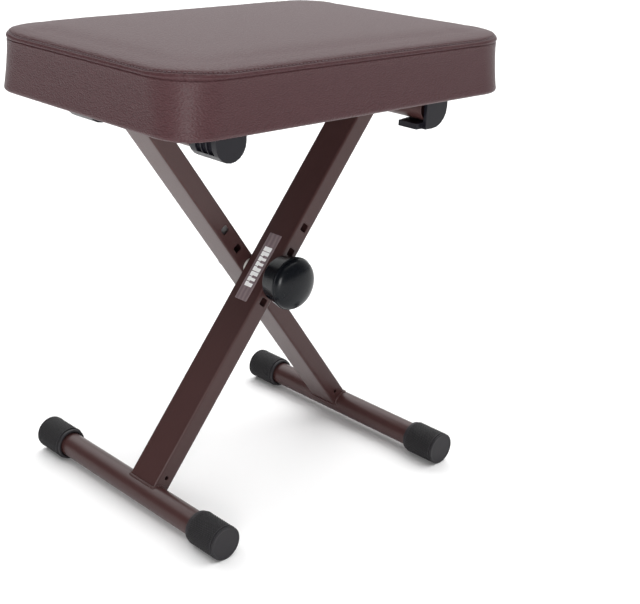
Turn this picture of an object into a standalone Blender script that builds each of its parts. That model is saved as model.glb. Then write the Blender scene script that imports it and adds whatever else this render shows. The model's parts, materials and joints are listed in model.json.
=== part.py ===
"""Folding X-frame piano bench: a padded seat on two crossed steel leg frames.

Metres, +Z up, origin on the floor under the middle of the seat. +X runs along the seat from its
hinged end to its hooked end, and -Y is the side of the clamp knob.

The rear leg frame stands on the right foot and carries the seat's hinge at the left. The front leg
frame stands on the left foot, turns on the pivot bolt, and slides into the seat's hooks at the right.
"""

import math

import bmesh
import bpy
from mathutils import Matrix, Vector

# Clearances
TOUCH = 0.0003  # between pieces that rest on each other or fit into each other
BAR_CLEARANCE = 0.0004  # between a crossbar and a bracket, all round

# Seat
SEAT_LENGTH = 0.419  # 16.5 in
SEAT_WIDTH = 0.290
SEAM_HEIGHT = 0.0493  # of the seam between side band and top panel, above the seat's bottom
EDGE_HEIGHT = 0.0605  # of the top panel's edge, above the seat's bottom
CROWN = 0.005  # rise of the top panel's middle above its edge
CROWN_FLAT = 0.006  # half width of the flat left in the middle of the crown
CORNER_RADIUS = 0.047  # of the seat in plan
BOTTOM_ROLL = 0.004  # radius of the cover's turn under the board
TOP_ROLL = 0.011  # radius of the top panel's edge
VINYL = 0.0012  # cover thickness
TURN_UNDER = 0.024  # reach of the cover folded under the board
BOARD_THICKNESS = 0.012
DUST_CLOTH = 0.0006  # thickness of the cloth under the board
CORNER_STEPS = 6  # facets in each corner of the seat
ROLL_STEPS = 3  # facets across each roll of the seat's edge
CROWN_STEPS = 4  # facets across the crown

# Leg frames
LEG_ANGLE = math.radians(52.5)  # of each leg above the floor
LEG_UPPER = 0.212  # from the pivot to the crossbar's axis, along the leg
LEG_LOWER = 0.248  # from the pivot to the foot's axis, along the leg
LEG_WIDE = 0.038  # of the rectangular leg tube, across the bench
LEG_THICK = 0.020  # of the rectangular leg tube, in the plane of the X
LEG_WALL = 0.0015
LEG_CORNER = 0.002  # outer corner radius of the leg tube
LEG_CORNER_STEPS = 2
LEG_GAP = 0.003  # between the two legs, filled by the spacer
CROSSBAR_RADIUS = 0.0125
CROSSBAR_LENGTH = 0.218
FOOT_RADIUS = 0.0127
TUBE_WALL = 0.0014
TUBE_STEPS = 26  # two more than a multiple of four, so that a flat lies at the bottom
HOLE_SPACING = 0.0285  # between height holes, along a leg
HOLES_ABOVE = 2  # height holes above the pivot's, on each leg
HOLES_BELOW = 1
HOLE_STEPS = 16
VENT_RADIUS = 0.0022  # of the drain hole near each leg's foot
VENT_RISE = 0.022  # of the drain hole above the foot's axis, along the leg

# Foot caps
FRAME_WIDTH = 0.290  # over the foot caps
CAP_WALL = 0.004  # of rubber round the foot tube
CAP_LENGTH = 0.040
CAP_END_WALL = 0.004
CAP_SHOULDER = 0.0025  # rounding of the cap's inner end
CAP_RIM = 0.0012  # rounding of the cap's outer end

# Pivot
BOLT_RADIUS = 0.004
BOLT_HEAD_RADIUS = 0.0085
BOLT_HEAD_HEIGHT = 0.004
WASHER_RADIUS = 0.0095
WASHER_THICKNESS = 0.0016
SPACER_RADIUS = 0.0093
INSERT_RADIUS = 0.0078  # over the corners of the knob's hexagonal nut
INSERT_LENGTH = 0.0095
KNOB_BACK_RADIUS = 0.0235
KNOB_RIM_RADIUS = 0.027
KNOB_RIM_WIDTH = 0.003
KNOB_RIM_DEPTH = 0.0215  # of the knob's widest ring, from its back
KNOB_DOME = 0.0115  # rise of the knob's domed front over its rim
KNOB_DOME_STEPS = 4
BOLT_IN_KNOB = 0.017  # reach of the bolt into the knob, from the knob's back
BOLT_END_ROOM = 0.004  # free bore in the knob past the bolt's end
TURNED_STEPS = 24

# Seat brackets
SADDLE_WALL = 0.0041  # of the hinge bracket, around the crossbar
PLATE_THICKNESS = 0.004  # of each bracket's outer end plate
BAR_ROOM = 0.0014  # between the crossbar and the seat, in the brackets
BASE_THICKNESS = 0.0021  # of each bracket's flange against the seat
FLANGE_REACH = 0.0135  # of a bracket's screw flange past its body
FLANGE_DRAFT = 0.0003  # thinning of the hinge bracket's flanges towards their ends
HINGE_LENGTH = 0.038
POCKETS = 3  # hollows along each side of the hinge bracket
POCKET_WALL = 0.0015  # of saddle left between a pocket and the crossbar's channel
POCKET_RIB = 0.0013  # between two pockets
POCKET_END = 0.009  # of solid saddle left between the pockets and the inner end
POCKET_EDGE = 0.0025  # of solid saddle left between the pockets and the end plate
POCKET_LOW = 0.0095  # of the pockets' lower edge below the crossbar's axis
POCKET_HIGH = 0.009  # of the pockets' upper edge above the crossbar's axis
HOOK_LENGTH = 0.029
HOOK_LIP = 0.0070  # thickness of the hook's lower lip
HOOK_LIP_REACH = 0.0152  # of the lip past the crossbar's axis
HOOK_LIP_SLOPE = 0.0012  # fall of the lip's upper face towards its end
HOOK_LIP_NOTCH = 0.001  # between the lip and the end plate
HOOK_PLATE_REACH = 0.0075  # of the hook's end plate past the crossbar's axis
HOOK_BACK = 0.0100  # thickness of the hook behind the crossbar
ARC_STEPS = 10  # facets in a bracket's half round
SCREW_RADIUS = 0.0019
SCREW_HEAD_RADIUS = 0.0038
SCREW_HEAD_HEIGHT = 0.0022
SCREW_LENGTH = 0.012
SCREW_STEPS = 12
PAST = 0.001  # how far a cutter runs past what it cuts

# Label
LABEL_LENGTH = 0.075
LABEL_WIDTH = 0.017
LABEL_THICKNESS = 0.0004
LABEL_RISE = 0.001  # of the label's middle above the pivot, along the leg
LABEL_SHIFT = 0.001  # of the label's middle towards the middle plane, from the leg's

# Worked out from the values above
CAP_RADIUS = FOOT_RADIUS + TOUCH + CAP_WALL
FOOT_HEIGHT = CAP_RADIUS
FOOT_REACH = LEG_LOWER * math.cos(LEG_ANGLE)
PIVOT_HEIGHT = FOOT_HEIGHT + LEG_LOWER * math.sin(LEG_ANGLE)
CROSSBAR_REACH = LEG_UPPER * math.cos(LEG_ANGLE)
CROSSBAR_HEIGHT = PIVOT_HEIGHT + LEG_UPPER * math.sin(LEG_ANGLE)
CAP_CORNER_RADIUS = CAP_RADIUS / math.cos(math.pi / TUBE_STEPS)
LEG_OFFSET = (LEG_GAP + LEG_WIDE) / 2  # of each leg's middle from the middle plane
FRAME_FACE = LEG_GAP / 2 + LEG_WIDE  # outer face of each leg, from the middle plane
WASHER_MIDDLE = FRAME_FACE + TOUCH + WASHER_THICKNESS / 2
WASHER_FACE = FRAME_FACE + 2 * TOUCH + WASHER_THICKNESS  # where the knob and the bolt's head start
SADDLE_RADIUS = CROSSBAR_RADIUS + BAR_CLEARANCE
HINGE_OUTER = SADDLE_RADIUS + SADDLE_WALL
HOOK_OUTER = SADDLE_RADIUS + HOOK_LIP
HOOK_FAR = SADDLE_RADIUS + HOOK_BACK
BRACKET_RISE = CROSSBAR_RADIUS + BAR_ROOM  # of a bracket's top above the crossbar's axis
BRACKET_UNDER = BRACKET_RISE - BASE_THICKNESS  # of a bracket's flange above the crossbar's axis
BRACKET_END = CROSSBAR_LENGTH / 2 + TOUCH + PLATE_THICKNESS
SEAT_BOTTOM = CROSSBAR_HEIGHT + BRACKET_RISE + TOUCH
SEAM = SEAT_BOTTOM + SEAM_HEIGHT
SEAT_EDGE = SEAT_BOTTOM + EDGE_HEIGHT
BOARD_INSET = VINYL + TOUCH
BOARD_TOP = SEAT_BOTTOM + BOARD_INSET + BOARD_THICKNESS

COLOURS = {
    "leg_paint": ((0.075, 0.036, 0.038), 0.45, 0.0),
    "cover_vinyl": ((0.085, 0.050, 0.054), 0.5, 0.0),
    "foam": ((0.75, 0.72, 0.55), 0.9, 0.0),
    "plywood": ((0.48, 0.33, 0.19), 0.7, 0.0),
    "dust_cloth": ((0.02, 0.02, 0.02), 0.9, 0.0),
    "black_plastic": ((0.03, 0.03, 0.035), 0.4, 0.0),
    "knob_plastic": ((0.012, 0.013, 0.014), 0.2, 0.0),
    "cap_rubber": ((0.035, 0.033, 0.036), 0.7, 0.0),
    "plated_steel": ((0.62, 0.62, 0.6), 0.35, 1.0),
    "nylon": ((0.85, 0.85, 0.82), 0.5, 0.0),
    "label_film": ((0.20, 0.15, 0.16), 0.4, 0.0),
}

# Directions that a turned or extruded piece's height can run in
UP = Matrix.Identity(4)
TO_FRONT = Matrix.Rotation(math.pi / 2, 4, "X")
TO_REAR = Matrix.Rotation(-math.pi / 2, 4, "X")


def clear_scene():
    """Removes every object, so that the model is all the scene holds."""
    for obj in list(bpy.data.objects):
        bpy.data.objects.remove(obj, do_unlink=True)


def new_collection(name):
    """A collection linked to the scene."""
    collection = bpy.data.collections.new(name)
    bpy.context.scene.collection.children.link(collection)
    return collection


def make_materials():
    """One Principled material for each finish."""
    made = {}
    for name, (colour, roughness, metallic) in COLOURS.items():
        material = bpy.data.materials.new(name)
        material.use_nodes = True
        shader = material.node_tree.nodes["Principled BSDF"]
        shader.inputs["Base Color"].default_value = (*colour, 1)
        shader.inputs["Roughness"].default_value = roughness
        shader.inputs["Metallic"].default_value = metallic
        made[name] = material
    return made


def body_empty(name, location, parent=None):
    """An empty on a body's joint, which the body's pieces are parented to."""
    empty = bpy.data.objects.new(name, None)
    PARTS.objects.link(empty)
    if parent is not None:
        empty.parent = parent
        location = Vector(location) - parent.matrix_world.translation
    empty.location = location
    bpy.context.view_layer.update()
    return empty


def finish(obj, material, body):
    """Puts a piece in the object's collection, with its material, under its body's empty."""
    bpy.context.scene.collection.objects.unlink(obj)
    PARTS.objects.link(obj)
    obj.data.materials.clear()
    obj.data.materials.append(MATERIALS[material])
    obj.parent = body
    obj.matrix_parent_inverse = body.matrix_world.inverted()
    return obj


def cutter(obj):
    """Moves an object to the cutters, which are not part of the bench."""
    bpy.context.scene.collection.objects.unlink(obj)
    CUTTERS.objects.link(obj)
    obj.hide_render = True
    obj.display_type = "WIRE"
    return obj


def cut(obj, tool):
    """Cuts one cutter out of a piece."""
    modifier = obj.modifiers.new(tool.name, "BOOLEAN")
    modifier.operation = "DIFFERENCE"
    modifier.solver = "EXACT"
    modifier.object = tool


def mesh_object(name, bm):
    """A mesh object made from a bmesh, with its faces turned outwards."""
    bmesh.ops.remove_doubles(bm, verts=bm.verts, dist=1e-6)
    bmesh.ops.recalc_face_normals(bm, faces=bm.faces)
    mesh = bpy.data.meshes.new(name)
    bm.to_mesh(mesh)
    bm.free()
    obj = bpy.data.objects.new(name, mesh)
    bpy.context.scene.collection.objects.link(obj)
    return obj


def made_solid(obj):
    """Replaces an object by a mesh of its evaluated shape, with its coincident points merged."""
    bpy.context.view_layer.update()
    graph = bpy.context.evaluated_depsgraph_get()
    bm = bmesh.new()
    evaluated = bpy.data.meshes.new_from_object(obj.evaluated_get(graph))
    bm.from_mesh(evaluated)
    bpy.data.meshes.remove(evaluated)
    name = obj.name
    place = obj.matrix_world.copy()
    bpy.data.objects.remove(obj, do_unlink=True)
    solid = mesh_object(name, bm)
    solid.matrix_world = place
    return solid


def shade_smooth(obj, angle=35):
    """Shades a round piece smooth and keeps its real edges sharp."""
    obj.data.shade_smooth()
    obj.data.set_sharp_from_angle(angle=math.radians(angle))


def turned(name, profile, direction=TO_FRONT, place=(0, 0, 0), steps=TURNED_STEPS, closed=False):
    """A turned piece: (radius, height) points down its outer side, swept round its axis."""
    bm = bmesh.new()
    points = [bm.verts.new((radius, 0, height)) for radius, height in profile]
    for first, second in zip(points, points[1:]):
        bm.edges.new((first, second))
    if closed:
        bm.edges.new((points[-1], points[0]))
    mesh = bpy.data.meshes.new(name)
    bm.to_mesh(mesh)
    bm.free()
    obj = bpy.data.objects.new(name, mesh)
    bpy.context.scene.collection.objects.link(obj)
    screw = obj.modifiers.new("turn", "SCREW")
    screw.steps = steps
    screw.render_steps = steps
    screw.use_merge_vertices = True
    screw.merge_threshold = 0.00001
    obj.matrix_world = Matrix.Translation(place) @ direction
    solid = made_solid(obj)
    shade_smooth(solid)
    return solid


def ring(name, inner, outer, length, place=(0, 0, 0), steps=TURNED_STEPS):
    """A plain ring or tube along Y, centred on its place."""
    half = length / 2
    profile = [(outer, half), (outer, -half), (inner, -half), (inner, half)]
    return turned(name, profile, TO_FRONT, place, steps, closed=True)


def rod_cutter(name, radius, length, direction=TO_FRONT, place=(0, 0, 0), steps=TURNED_STEPS):
    """A cylinder centred on its place, used as a cutter."""
    half = length / 2
    profile = [(0, half), (radius, half), (radius, -half), (0, -half)]
    return cutter(turned(name, profile, direction, place, steps))


def box(name, low, high):
    """A box from corner to corner."""
    bm = bmesh.new()
    bmesh.ops.create_cube(bm, size=1)
    bmesh.ops.scale(bm, vec=Vector(high) - Vector(low), verts=bm.verts)
    bmesh.ops.translate(bm, vec=(Vector(low) + Vector(high)) / 2, verts=bm.verts)
    return mesh_object(name, bm)


def extruded(name, outlines, thickness, turn):
    """A flat 2D curve of closed outlines, filled and extruded evenly to both sides, as a mesh."""
    curve = bpy.data.curves.new(name, "CURVE")
    curve.dimensions = "2D"
    curve.fill_mode = "BOTH"
    curve.extrude = thickness / 2
    for outline in outlines:
        spline = curve.splines.new("POLY")
        spline.points.add(len(outline) - 1)
        for point, (x, y) in zip(spline.points, outline):
            point.co = (x, y, 0, 1)
        spline.use_cyclic_u = True
    obj = bpy.data.objects.new(name, curve)
    bpy.context.scene.collection.objects.link(obj)
    obj.matrix_world = turn
    return made_solid(obj)


def arc(middle, radius, start, end, steps):
    """Points along an arc, with its angles in degrees from the first axis."""
    angles = [math.radians(start + (end - start) * step / steps) for step in range(steps + 1)]
    return [(middle[0] + radius * math.cos(a), middle[1] + radius * math.sin(a)) for a in angles]


def rounded_outline(half_x, half_y, radius, steps):
    """Points round a rectangle whose corners are arcs."""
    points = []
    for corner, (side_x, side_y) in enumerate(((1, 1), (-1, 1), (-1, -1), (1, -1))):
        middle = (side_x * (half_x - radius), side_y * (half_y - radius))
        points += arc(middle, radius, 90 * corner, 90 * corner + 90, steps)
    return points


# Seat -----------------------------------------------------------------------------------------


def seat_outline(inset):
    """The seat's plan outline, pulled in by inset."""
    radius = max(CORNER_RADIUS - inset, TOUCH)
    return rounded_outline(SEAT_LENGTH / 2 - inset, SEAT_WIDTH / 2 - inset, radius, CORNER_STEPS)


def seat_loft(name, levels, closed_loop=False):
    """Skins the seat's outline through (inset, height) levels.

    The first and last ring are filled, or joined to each other in a closed loop.
    """
    bm = bmesh.new()
    rings = []
    for inset, height in levels:
        rings.append([bm.verts.new((x, y, height)) for x, y in seat_outline(inset)])
    pairs = list(zip(rings, rings[1:]))
    if closed_loop:
        pairs.append((rings[-1], rings[0]))
    else:
        bm.faces.new(rings[0])
        bm.faces.new(rings[-1])
    for lower, upper in pairs:
        for i, point in enumerate(lower):
            after = (i + 1) % len(lower)
            bm.faces.new((point, lower[after], upper[after], upper[i]))
    obj = mesh_object(name, bm)
    shade_smooth(obj, 50)
    return obj


def bottom_levels(depth):
    """The roll from the seat's bottom to its side, this deep under the cover's outer face."""
    levels = []
    for step in range(ROLL_STEPS + 1):
        angle = step / ROLL_STEPS * math.pi / 2
        inset = BOTTOM_ROLL - (BOTTOM_ROLL - depth) * math.sin(angle)
        height = SEAT_BOTTOM + BOTTOM_ROLL - (BOTTOM_ROLL - depth) * math.cos(angle)
        levels.append((inset, height))
    return levels


def top_levels(depth):
    """The roll from the seat's side to its crowned top, this deep under the cover's outer face."""
    levels = []
    for step in range(ROLL_STEPS):
        angle = step / ROLL_STEPS * math.pi / 2
        inset = TOP_ROLL - (TOP_ROLL - depth) * math.cos(angle)
        height = SEAT_EDGE - TOP_ROLL + (TOP_ROLL - depth) * math.sin(angle)
        levels.append((inset, height))
    reach = SEAT_WIDTH / 2 - TOP_ROLL - CROWN_FLAT
    for step in range(CROWN_STEPS + 1):
        share = step / CROWN_STEPS
        rise = CROWN * math.sin(share * math.pi / 2)
        levels.append((TOP_ROLL + share * reach, SEAT_EDGE - depth + rise))
    return levels


def make_cover(body):
    """The vinyl side band, folded under the board, and the top panel sewn to it."""
    lower_seam = SEAM - TOUCH / 2
    outer = [(TURN_UNDER, SEAT_BOTTOM)] + bottom_levels(0) + [(0, lower_seam)]
    inner = [(TURN_UNDER, SEAT_BOTTOM + VINYL)] + bottom_levels(VINYL) + [(VINYL, lower_seam)]
    band = seat_loft("cover_side_band", outer + inner[::-1], closed_loop=True)
    finish(band, "cover_vinyl", body)
    upper_seam = SEAM + TOUCH / 2
    outer = [(0, upper_seam)] + top_levels(0)
    inner = [(VINYL, upper_seam)] + top_levels(VINYL)
    panel = seat_loft("cover_top_panel", outer[::-1] + inner)
    finish(panel, "cover_vinyl", body)


def make_foam(body):
    """The foam block between the board and the cover."""
    levels = [(BOARD_INSET, BOARD_TOP + TOUCH)] + top_levels(BOARD_INSET)
    finish(seat_loft("seat_foam", levels), "foam", body)


def make_board(body, screw_holes):
    """The plywood board, with a blind pilot hole for each bracket screw."""
    levels = bottom_levels(BOARD_INSET) + [(BOARD_INSET, BOARD_TOP)]
    board = seat_loft("seat_board", levels)
    for hole in screw_holes:
        cut(board, hole)
    finish(board, "plywood", body)


def make_dust_cover(body, screw_holes):
    """The thin cloth over the board's underside, inside the folded-under vinyl."""
    outline = seat_outline(TURN_UNDER + TOUCH)
    turn = Matrix.Translation((0, 0, SEAT_BOTTOM + DUST_CLOTH / 2))
    cloth = extruded("dust_cover", [outline], DUST_CLOTH, turn)
    for hole in screw_holes:
        cut(cloth, hole)
    finish(cloth, "dust_cloth", body)


# Brackets -------------------------------------------------------------------------------------


def screw_places(side, end):
    """The (x, y) of the two screws of one bracket: side -1 is the hinge, end -1 the front."""
    if side < 0:
        y = end * (BRACKET_END - HINGE_LENGTH / 2)
        reach = HINGE_OUTER + FLANGE_REACH / 2
        return [(-CROSSBAR_REACH - reach, y), (-CROSSBAR_REACH + reach, y)]
    x = CROSSBAR_REACH + HOOK_FAR + FLANGE_REACH / 2
    y = end * (BRACKET_END - HOOK_LENGTH / 2)
    return [(x, y - HOOK_LENGTH / 4), (x, y + HOOK_LENGTH / 4)]


def make_screws(body, kind, side, end, end_name):
    """The two pan-head screws of one bracket, and the cutters for their holes."""
    holes = []
    under_head = CROSSBAR_HEIGHT + BRACKET_RISE - BASE_THICKNESS - TOUCH
    for letter, (x, y) in zip("ab", screw_places(side, end)):
        profile = [
            (0, SCREW_LENGTH),
            (SCREW_RADIUS / 2, SCREW_LENGTH),
            (SCREW_RADIUS, SCREW_LENGTH - SCREW_RADIUS),
            (SCREW_RADIUS, 0),
            (SCREW_HEAD_RADIUS, 0),
            (SCREW_HEAD_RADIUS, -SCREW_HEAD_HEIGHT / 2),
            (SCREW_HEAD_RADIUS * 2 / 3, -SCREW_HEAD_HEIGHT),
            (0, -SCREW_HEAD_HEIGHT),
        ]
        name = f"{kind}_screw_{end_name}_{letter}"
        place = (x, y, under_head)
        finish(turned(name, profile, UP, place, SCREW_STEPS), "plated_steel", body)
        length = 2 * (SCREW_LENGTH + TOUCH)
        holes.append(
            rod_cutter(name + "_hole", SCREW_RADIUS + TOUCH, length, UP, place, SCREW_STEPS)
        )
    return holes


def bracket_turn(side, y):
    """Places an outline drawn as (x, z) from a crossbar's axis, extruded along Y about this y."""
    return Matrix.Translation((side * CROSSBAR_REACH, y, CROSSBAR_HEIGHT)) @ TO_FRONT


def make_hinge_bracket(body, end, end_name, screw_holes):
    """A saddle under the left crossbar, closed by a plate at its outer end, with ribbed sides."""
    name = f"hinge_bracket_{end_name}"
    under = BRACKET_UNDER
    flange = HINGE_OUTER + FLANGE_REACH
    tip = under + FLANGE_DRAFT
    outline = [(flange, tip), (flange, BRACKET_RISE), (-flange, BRACKET_RISE), (-flange, tip)]
    outline += [(-HINGE_OUTER, under)] + arc((0, 0), HINGE_OUTER, 180, 360, ARC_STEPS)
    outline += [(HINGE_OUTER, under)]
    middle = end * (BRACKET_END - HINGE_LENGTH / 2)
    bracket = extruded(name, [outline], HINGE_LENGTH, bracket_turn(-1, middle))
    for hole in screw_holes:
        cut(bracket, hole)

    open_length = HINGE_LENGTH - PLATE_THICKNESS
    channel_middle = end * (BRACKET_END - PLATE_THICKNESS - (open_length + PAST) / 2)
    channel = arc((0, 0), SADDLE_RADIUS, 180, 360, ARC_STEPS)
    channel += [(SADDLE_RADIUS, BRACKET_RISE + PAST), (-SADDLE_RADIUS, BRACKET_RISE + PAST)]
    turn = bracket_turn(-1, channel_middle)
    cut(bracket, cutter(extruded(name + "_channel", [channel], open_length + PAST, turn)))

    first = BRACKET_END - HINGE_LENGTH + POCKET_END
    last = BRACKET_END - PLATE_THICKNESS - POCKET_EDGE
    pocket_length = (last - first - (POCKETS - 1) * POCKET_RIB) / POCKETS
    floor = SADDLE_RADIUS + POCKET_WALL
    low_turn = math.degrees(math.asin(POCKET_LOW / floor))
    for number in range(POCKETS):
        pocket_middle = first + pocket_length / 2 + number * (pocket_length + POCKET_RIB)
        for side in (-1, 1):
            pocket = [(HINGE_OUTER + PAST, -POCKET_LOW)]
            pocket += arc((0, 0), floor, -low_turn, 0, ARC_STEPS // 2)
            pocket += [(floor, POCKET_HIGH), (HINGE_OUTER + PAST, POCKET_HIGH)]
            if side < 0:
                pocket = [(-x, z) for x, z in reversed(pocket)]
            turn = bracket_turn(-1, end * pocket_middle)
            pocket_name = f"{name}_pocket_{number}_{side}"
            cut(bracket, cutter(extruded(pocket_name, [pocket], pocket_length, turn)))
    finish(bracket, "black_plastic", body)
    shade_smooth(bracket)


def make_hook_bracket(body, end, end_name, screw_holes):
    """A hook that opens towards the bench's middle and holds the right crossbar from below."""
    name = f"hook_bracket_{end_name}"
    flange = HOOK_FAR + FLANGE_REACH
    round_middle = (HOOK_FAR - HOOK_OUTER, 0)
    outline = [(-HOOK_LIP_REACH, BRACKET_RISE), (-HOOK_LIP_REACH, -HOOK_OUTER)]
    outline += arc(round_middle, HOOK_OUTER, 270, 360, ARC_STEPS // 2)
    outline += [(HOOK_FAR, BRACKET_UNDER), (flange, BRACKET_UNDER), (flange, BRACKET_RISE)]
    middle = end * (BRACKET_END - HOOK_LENGTH / 2)
    bracket = extruded(name, [outline], HOOK_LENGTH, bracket_turn(1, middle))

    past_lip = -HOOK_LIP_REACH - PAST
    open_length = HOOK_LENGTH - PLATE_THICKNESS
    channel_middle = end * (BRACKET_END - PLATE_THICKNESS - (open_length + PAST) / 2)
    channel = [(-HOOK_PLATE_REACH, BRACKET_RISE + PAST), (past_lip, BRACKET_RISE + PAST)]
    channel += [(past_lip, -SADDLE_RADIUS - HOOK_LIP_SLOPE)]
    channel += arc((0, 0), SADDLE_RADIUS, 270, 450, ARC_STEPS)
    channel += [(-HOOK_PLATE_REACH, SADDLE_RADIUS)]
    turn = bracket_turn(1, channel_middle)
    cut(bracket, cutter(extruded(name + "_channel", [channel], open_length + PAST, turn)))

    sides = sorted(
        (
            end * (BRACKET_END + PAST),
            end * (BRACKET_END - PLATE_THICKNESS - HOOK_LIP_NOTCH),
        )
    )
    low = (
        CROSSBAR_REACH + past_lip,
        sides[0],
        CROSSBAR_HEIGHT - HOOK_OUTER - PAST,
    )
    high = (
        CROSSBAR_REACH - HOOK_PLATE_REACH,
        sides[1],
        CROSSBAR_HEIGHT + BRACKET_RISE + PAST,
    )
    cut(bracket, cutter(box(name + "_beside_plate", low, high)))
    for hole in screw_holes:
        cut(bracket, hole)
    finish(bracket, "black_plastic", body)
    shade_smooth(bracket)


# Leg frames -----------------------------------------------------------------------------------


def leg_point(side, distance, y=0, off=0):
    """A point on a leg: distance up it from the pivot, and off its upper-left or upper-right face.

    side is 1 for the front leg, which rises towards +X, and -1 for the rear leg.
    """
    along = Vector((side * math.cos(LEG_ANGLE), 0, math.sin(LEG_ANGLE)))
    outwards = Vector((-side * math.sin(LEG_ANGLE), 0, math.cos(LEG_ANGLE)))
    return Vector((0, y, PIVOT_HEIGHT)) + along * distance + outwards * off


def leg_turn(side):
    """Turns local X across the leg, Y across the bench and Z up the leg."""
    return Matrix.Rotation(side * (math.pi / 2 - LEG_ANGLE), 4, "Y")


def make_leg(body, name, side):
    """One rectangular leg tube, coped at both ends to the round tubes it is welded to."""
    y = -side * LEG_OFFSET
    half_thick = LEG_THICK / 2
    half_wide = LEG_WIDE / 2
    inner_corner = max(LEG_CORNER - LEG_WALL, TOUCH)
    outlines = [
        rounded_outline(half_thick, half_wide, LEG_CORNER, LEG_CORNER_STEPS),
        rounded_outline(half_thick - LEG_WALL, half_wide - LEG_WALL, inner_corner, 1),
    ]
    middle = leg_point(side, (LEG_UPPER - LEG_LOWER) / 2, y)
    turn = Matrix.Translation(middle) @ leg_turn(side)
    leg = extruded(name, outlines, LEG_UPPER + LEG_LOWER, turn)

    across = LEG_WIDE + 2 * PAST
    ends = (
        ("top", CROSSBAR_RADIUS, LEG_UPPER),
        ("bottom", FOOT_RADIUS, -LEG_LOWER),
    )
    for end_name, radius, distance in ends:
        place = leg_point(side, distance, y)
        tool = rod_cutter(f"{name}_{end_name}", radius + TOUCH, across, TO_FRONT, place, TUBE_STEPS)
        cut(leg, tool)
    for number in range(-HOLES_BELOW, HOLES_ABOVE + 1):
        place = leg_point(side, number * HOLE_SPACING, y)
        tool = rod_cutter(f"{name}_hole", BOLT_RADIUS + TOUCH, across, TO_FRONT, place, HOLE_STEPS)
        cut(leg, tool)
    place = leg_point(side, VENT_RISE - LEG_LOWER, y)
    cut(leg, rod_cutter(f"{name}_vent", VENT_RADIUS, across, TO_FRONT, place, SCREW_STEPS))
    finish(leg, "leg_paint", body)
    shade_smooth(leg)


def make_foot_cap(body, name, side, end):
    """A rubber cup over one end of a foot tube."""
    socket = FOOT_RADIUS + TOUCH
    profile = [
        (0, CAP_LENGTH),
        (CAP_CORNER_RADIUS - CAP_RIM, CAP_LENGTH),
        (CAP_CORNER_RADIUS, CAP_LENGTH - CAP_RIM),
        (CAP_CORNER_RADIUS, CAP_SHOULDER),
        (CAP_CORNER_RADIUS - CAP_SHOULDER / 3, CAP_SHOULDER / 3),
        (CAP_CORNER_RADIUS - CAP_SHOULDER, 0),
        (socket, 0),
        (socket, CAP_LENGTH - CAP_END_WALL),
        (0, CAP_LENGTH - CAP_END_WALL),
    ]
    place = (-side * FOOT_REACH, end * (FRAME_WIDTH / 2 - CAP_LENGTH), FOOT_HEIGHT)
    direction = TO_FRONT if end < 0 else TO_REAR
    finish(turned(name, profile, direction, place, TUBE_STEPS), "cap_rubber", body)


def make_leg_frame(body, frame_name, side):
    """A leg, its foot tube with two caps, and its crossbar."""
    make_leg(body, f"{frame_name}_leg", side)
    place = (side * CROSSBAR_REACH, 0, CROSSBAR_HEIGHT)
    inner = CROSSBAR_RADIUS - TUBE_WALL
    bar = ring(f"{frame_name}_crossbar", inner, CROSSBAR_RADIUS, CROSSBAR_LENGTH, place, TUBE_STEPS)
    finish(bar, "leg_paint", body)
    place = (-side * FOOT_REACH, 0, FOOT_HEIGHT)
    length = FRAME_WIDTH - 2 * (CAP_END_WALL + TOUCH)
    inner = FOOT_RADIUS - TUBE_WALL
    foot = ring(f"{frame_name}_foot_tube", inner, FOOT_RADIUS, length, place, TUBE_STEPS)
    finish(foot, "leg_paint", body)
    for end, end_name in ((-1, "front"), (1, "rear")):
        make_foot_cap(body, f"{frame_name}_foot_cap_{end_name}", side, end)


def make_label(body):
    """A plain rectangular label on the upper face of the front leg, across the pivot."""
    y = -LEG_OFFSET + LABEL_SHIFT
    place = leg_point(1, LABEL_RISE, y, LEG_THICK / 2 + TOUCH + LABEL_THICKNESS / 2)
    half = Vector((LABEL_THICKNESS, LABEL_WIDTH, LABEL_LENGTH)) / 2
    label = box("leg_label", -half, half)
    label.matrix_world = Matrix.Translation(place) @ leg_turn(1)
    finish(label, "label_film", body)


# Pivot ----------------------------------------------------------------------------------------


def make_pivot_bolt(body):
    """The bolt through both legs, its head at the rear, with a washer under the head."""
    length = 2 * WASHER_FACE + BOLT_IN_KNOB - TOUCH
    profile = [
        (0, length),
        (BOLT_RADIUS * 2 / 3, length),
        (BOLT_RADIUS, length - BOLT_RADIUS / 3),
        (BOLT_RADIUS, 0),
        (BOLT_HEAD_RADIUS, 0),
        (BOLT_HEAD_RADIUS, -BOLT_HEAD_HEIGHT / 3),
        (BOLT_HEAD_RADIUS * 2 / 3, -BOLT_HEAD_HEIGHT),
        (0, -BOLT_HEAD_HEIGHT),
    ]
    bolt = turned("pivot_bolt", profile, TO_FRONT, (0, WASHER_FACE, PIVOT_HEIGHT), HOLE_STEPS)
    finish(bolt, "plated_steel", body)
    bore = BOLT_RADIUS + TOUCH
    place = (0, WASHER_MIDDLE, PIVOT_HEIGHT)
    washer = ring("bolt_washer", bore, WASHER_RADIUS, WASHER_THICKNESS, place, HOLE_STEPS)
    finish(washer, "plated_steel", body)
    place = (0, 0, PIVOT_HEIGHT)
    spacer = ring("leg_spacer", bore, SPACER_RADIUS, LEG_GAP - 2 * TOUCH, place, HOLE_STEPS)
    finish(spacer, "nylon", body)


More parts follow.
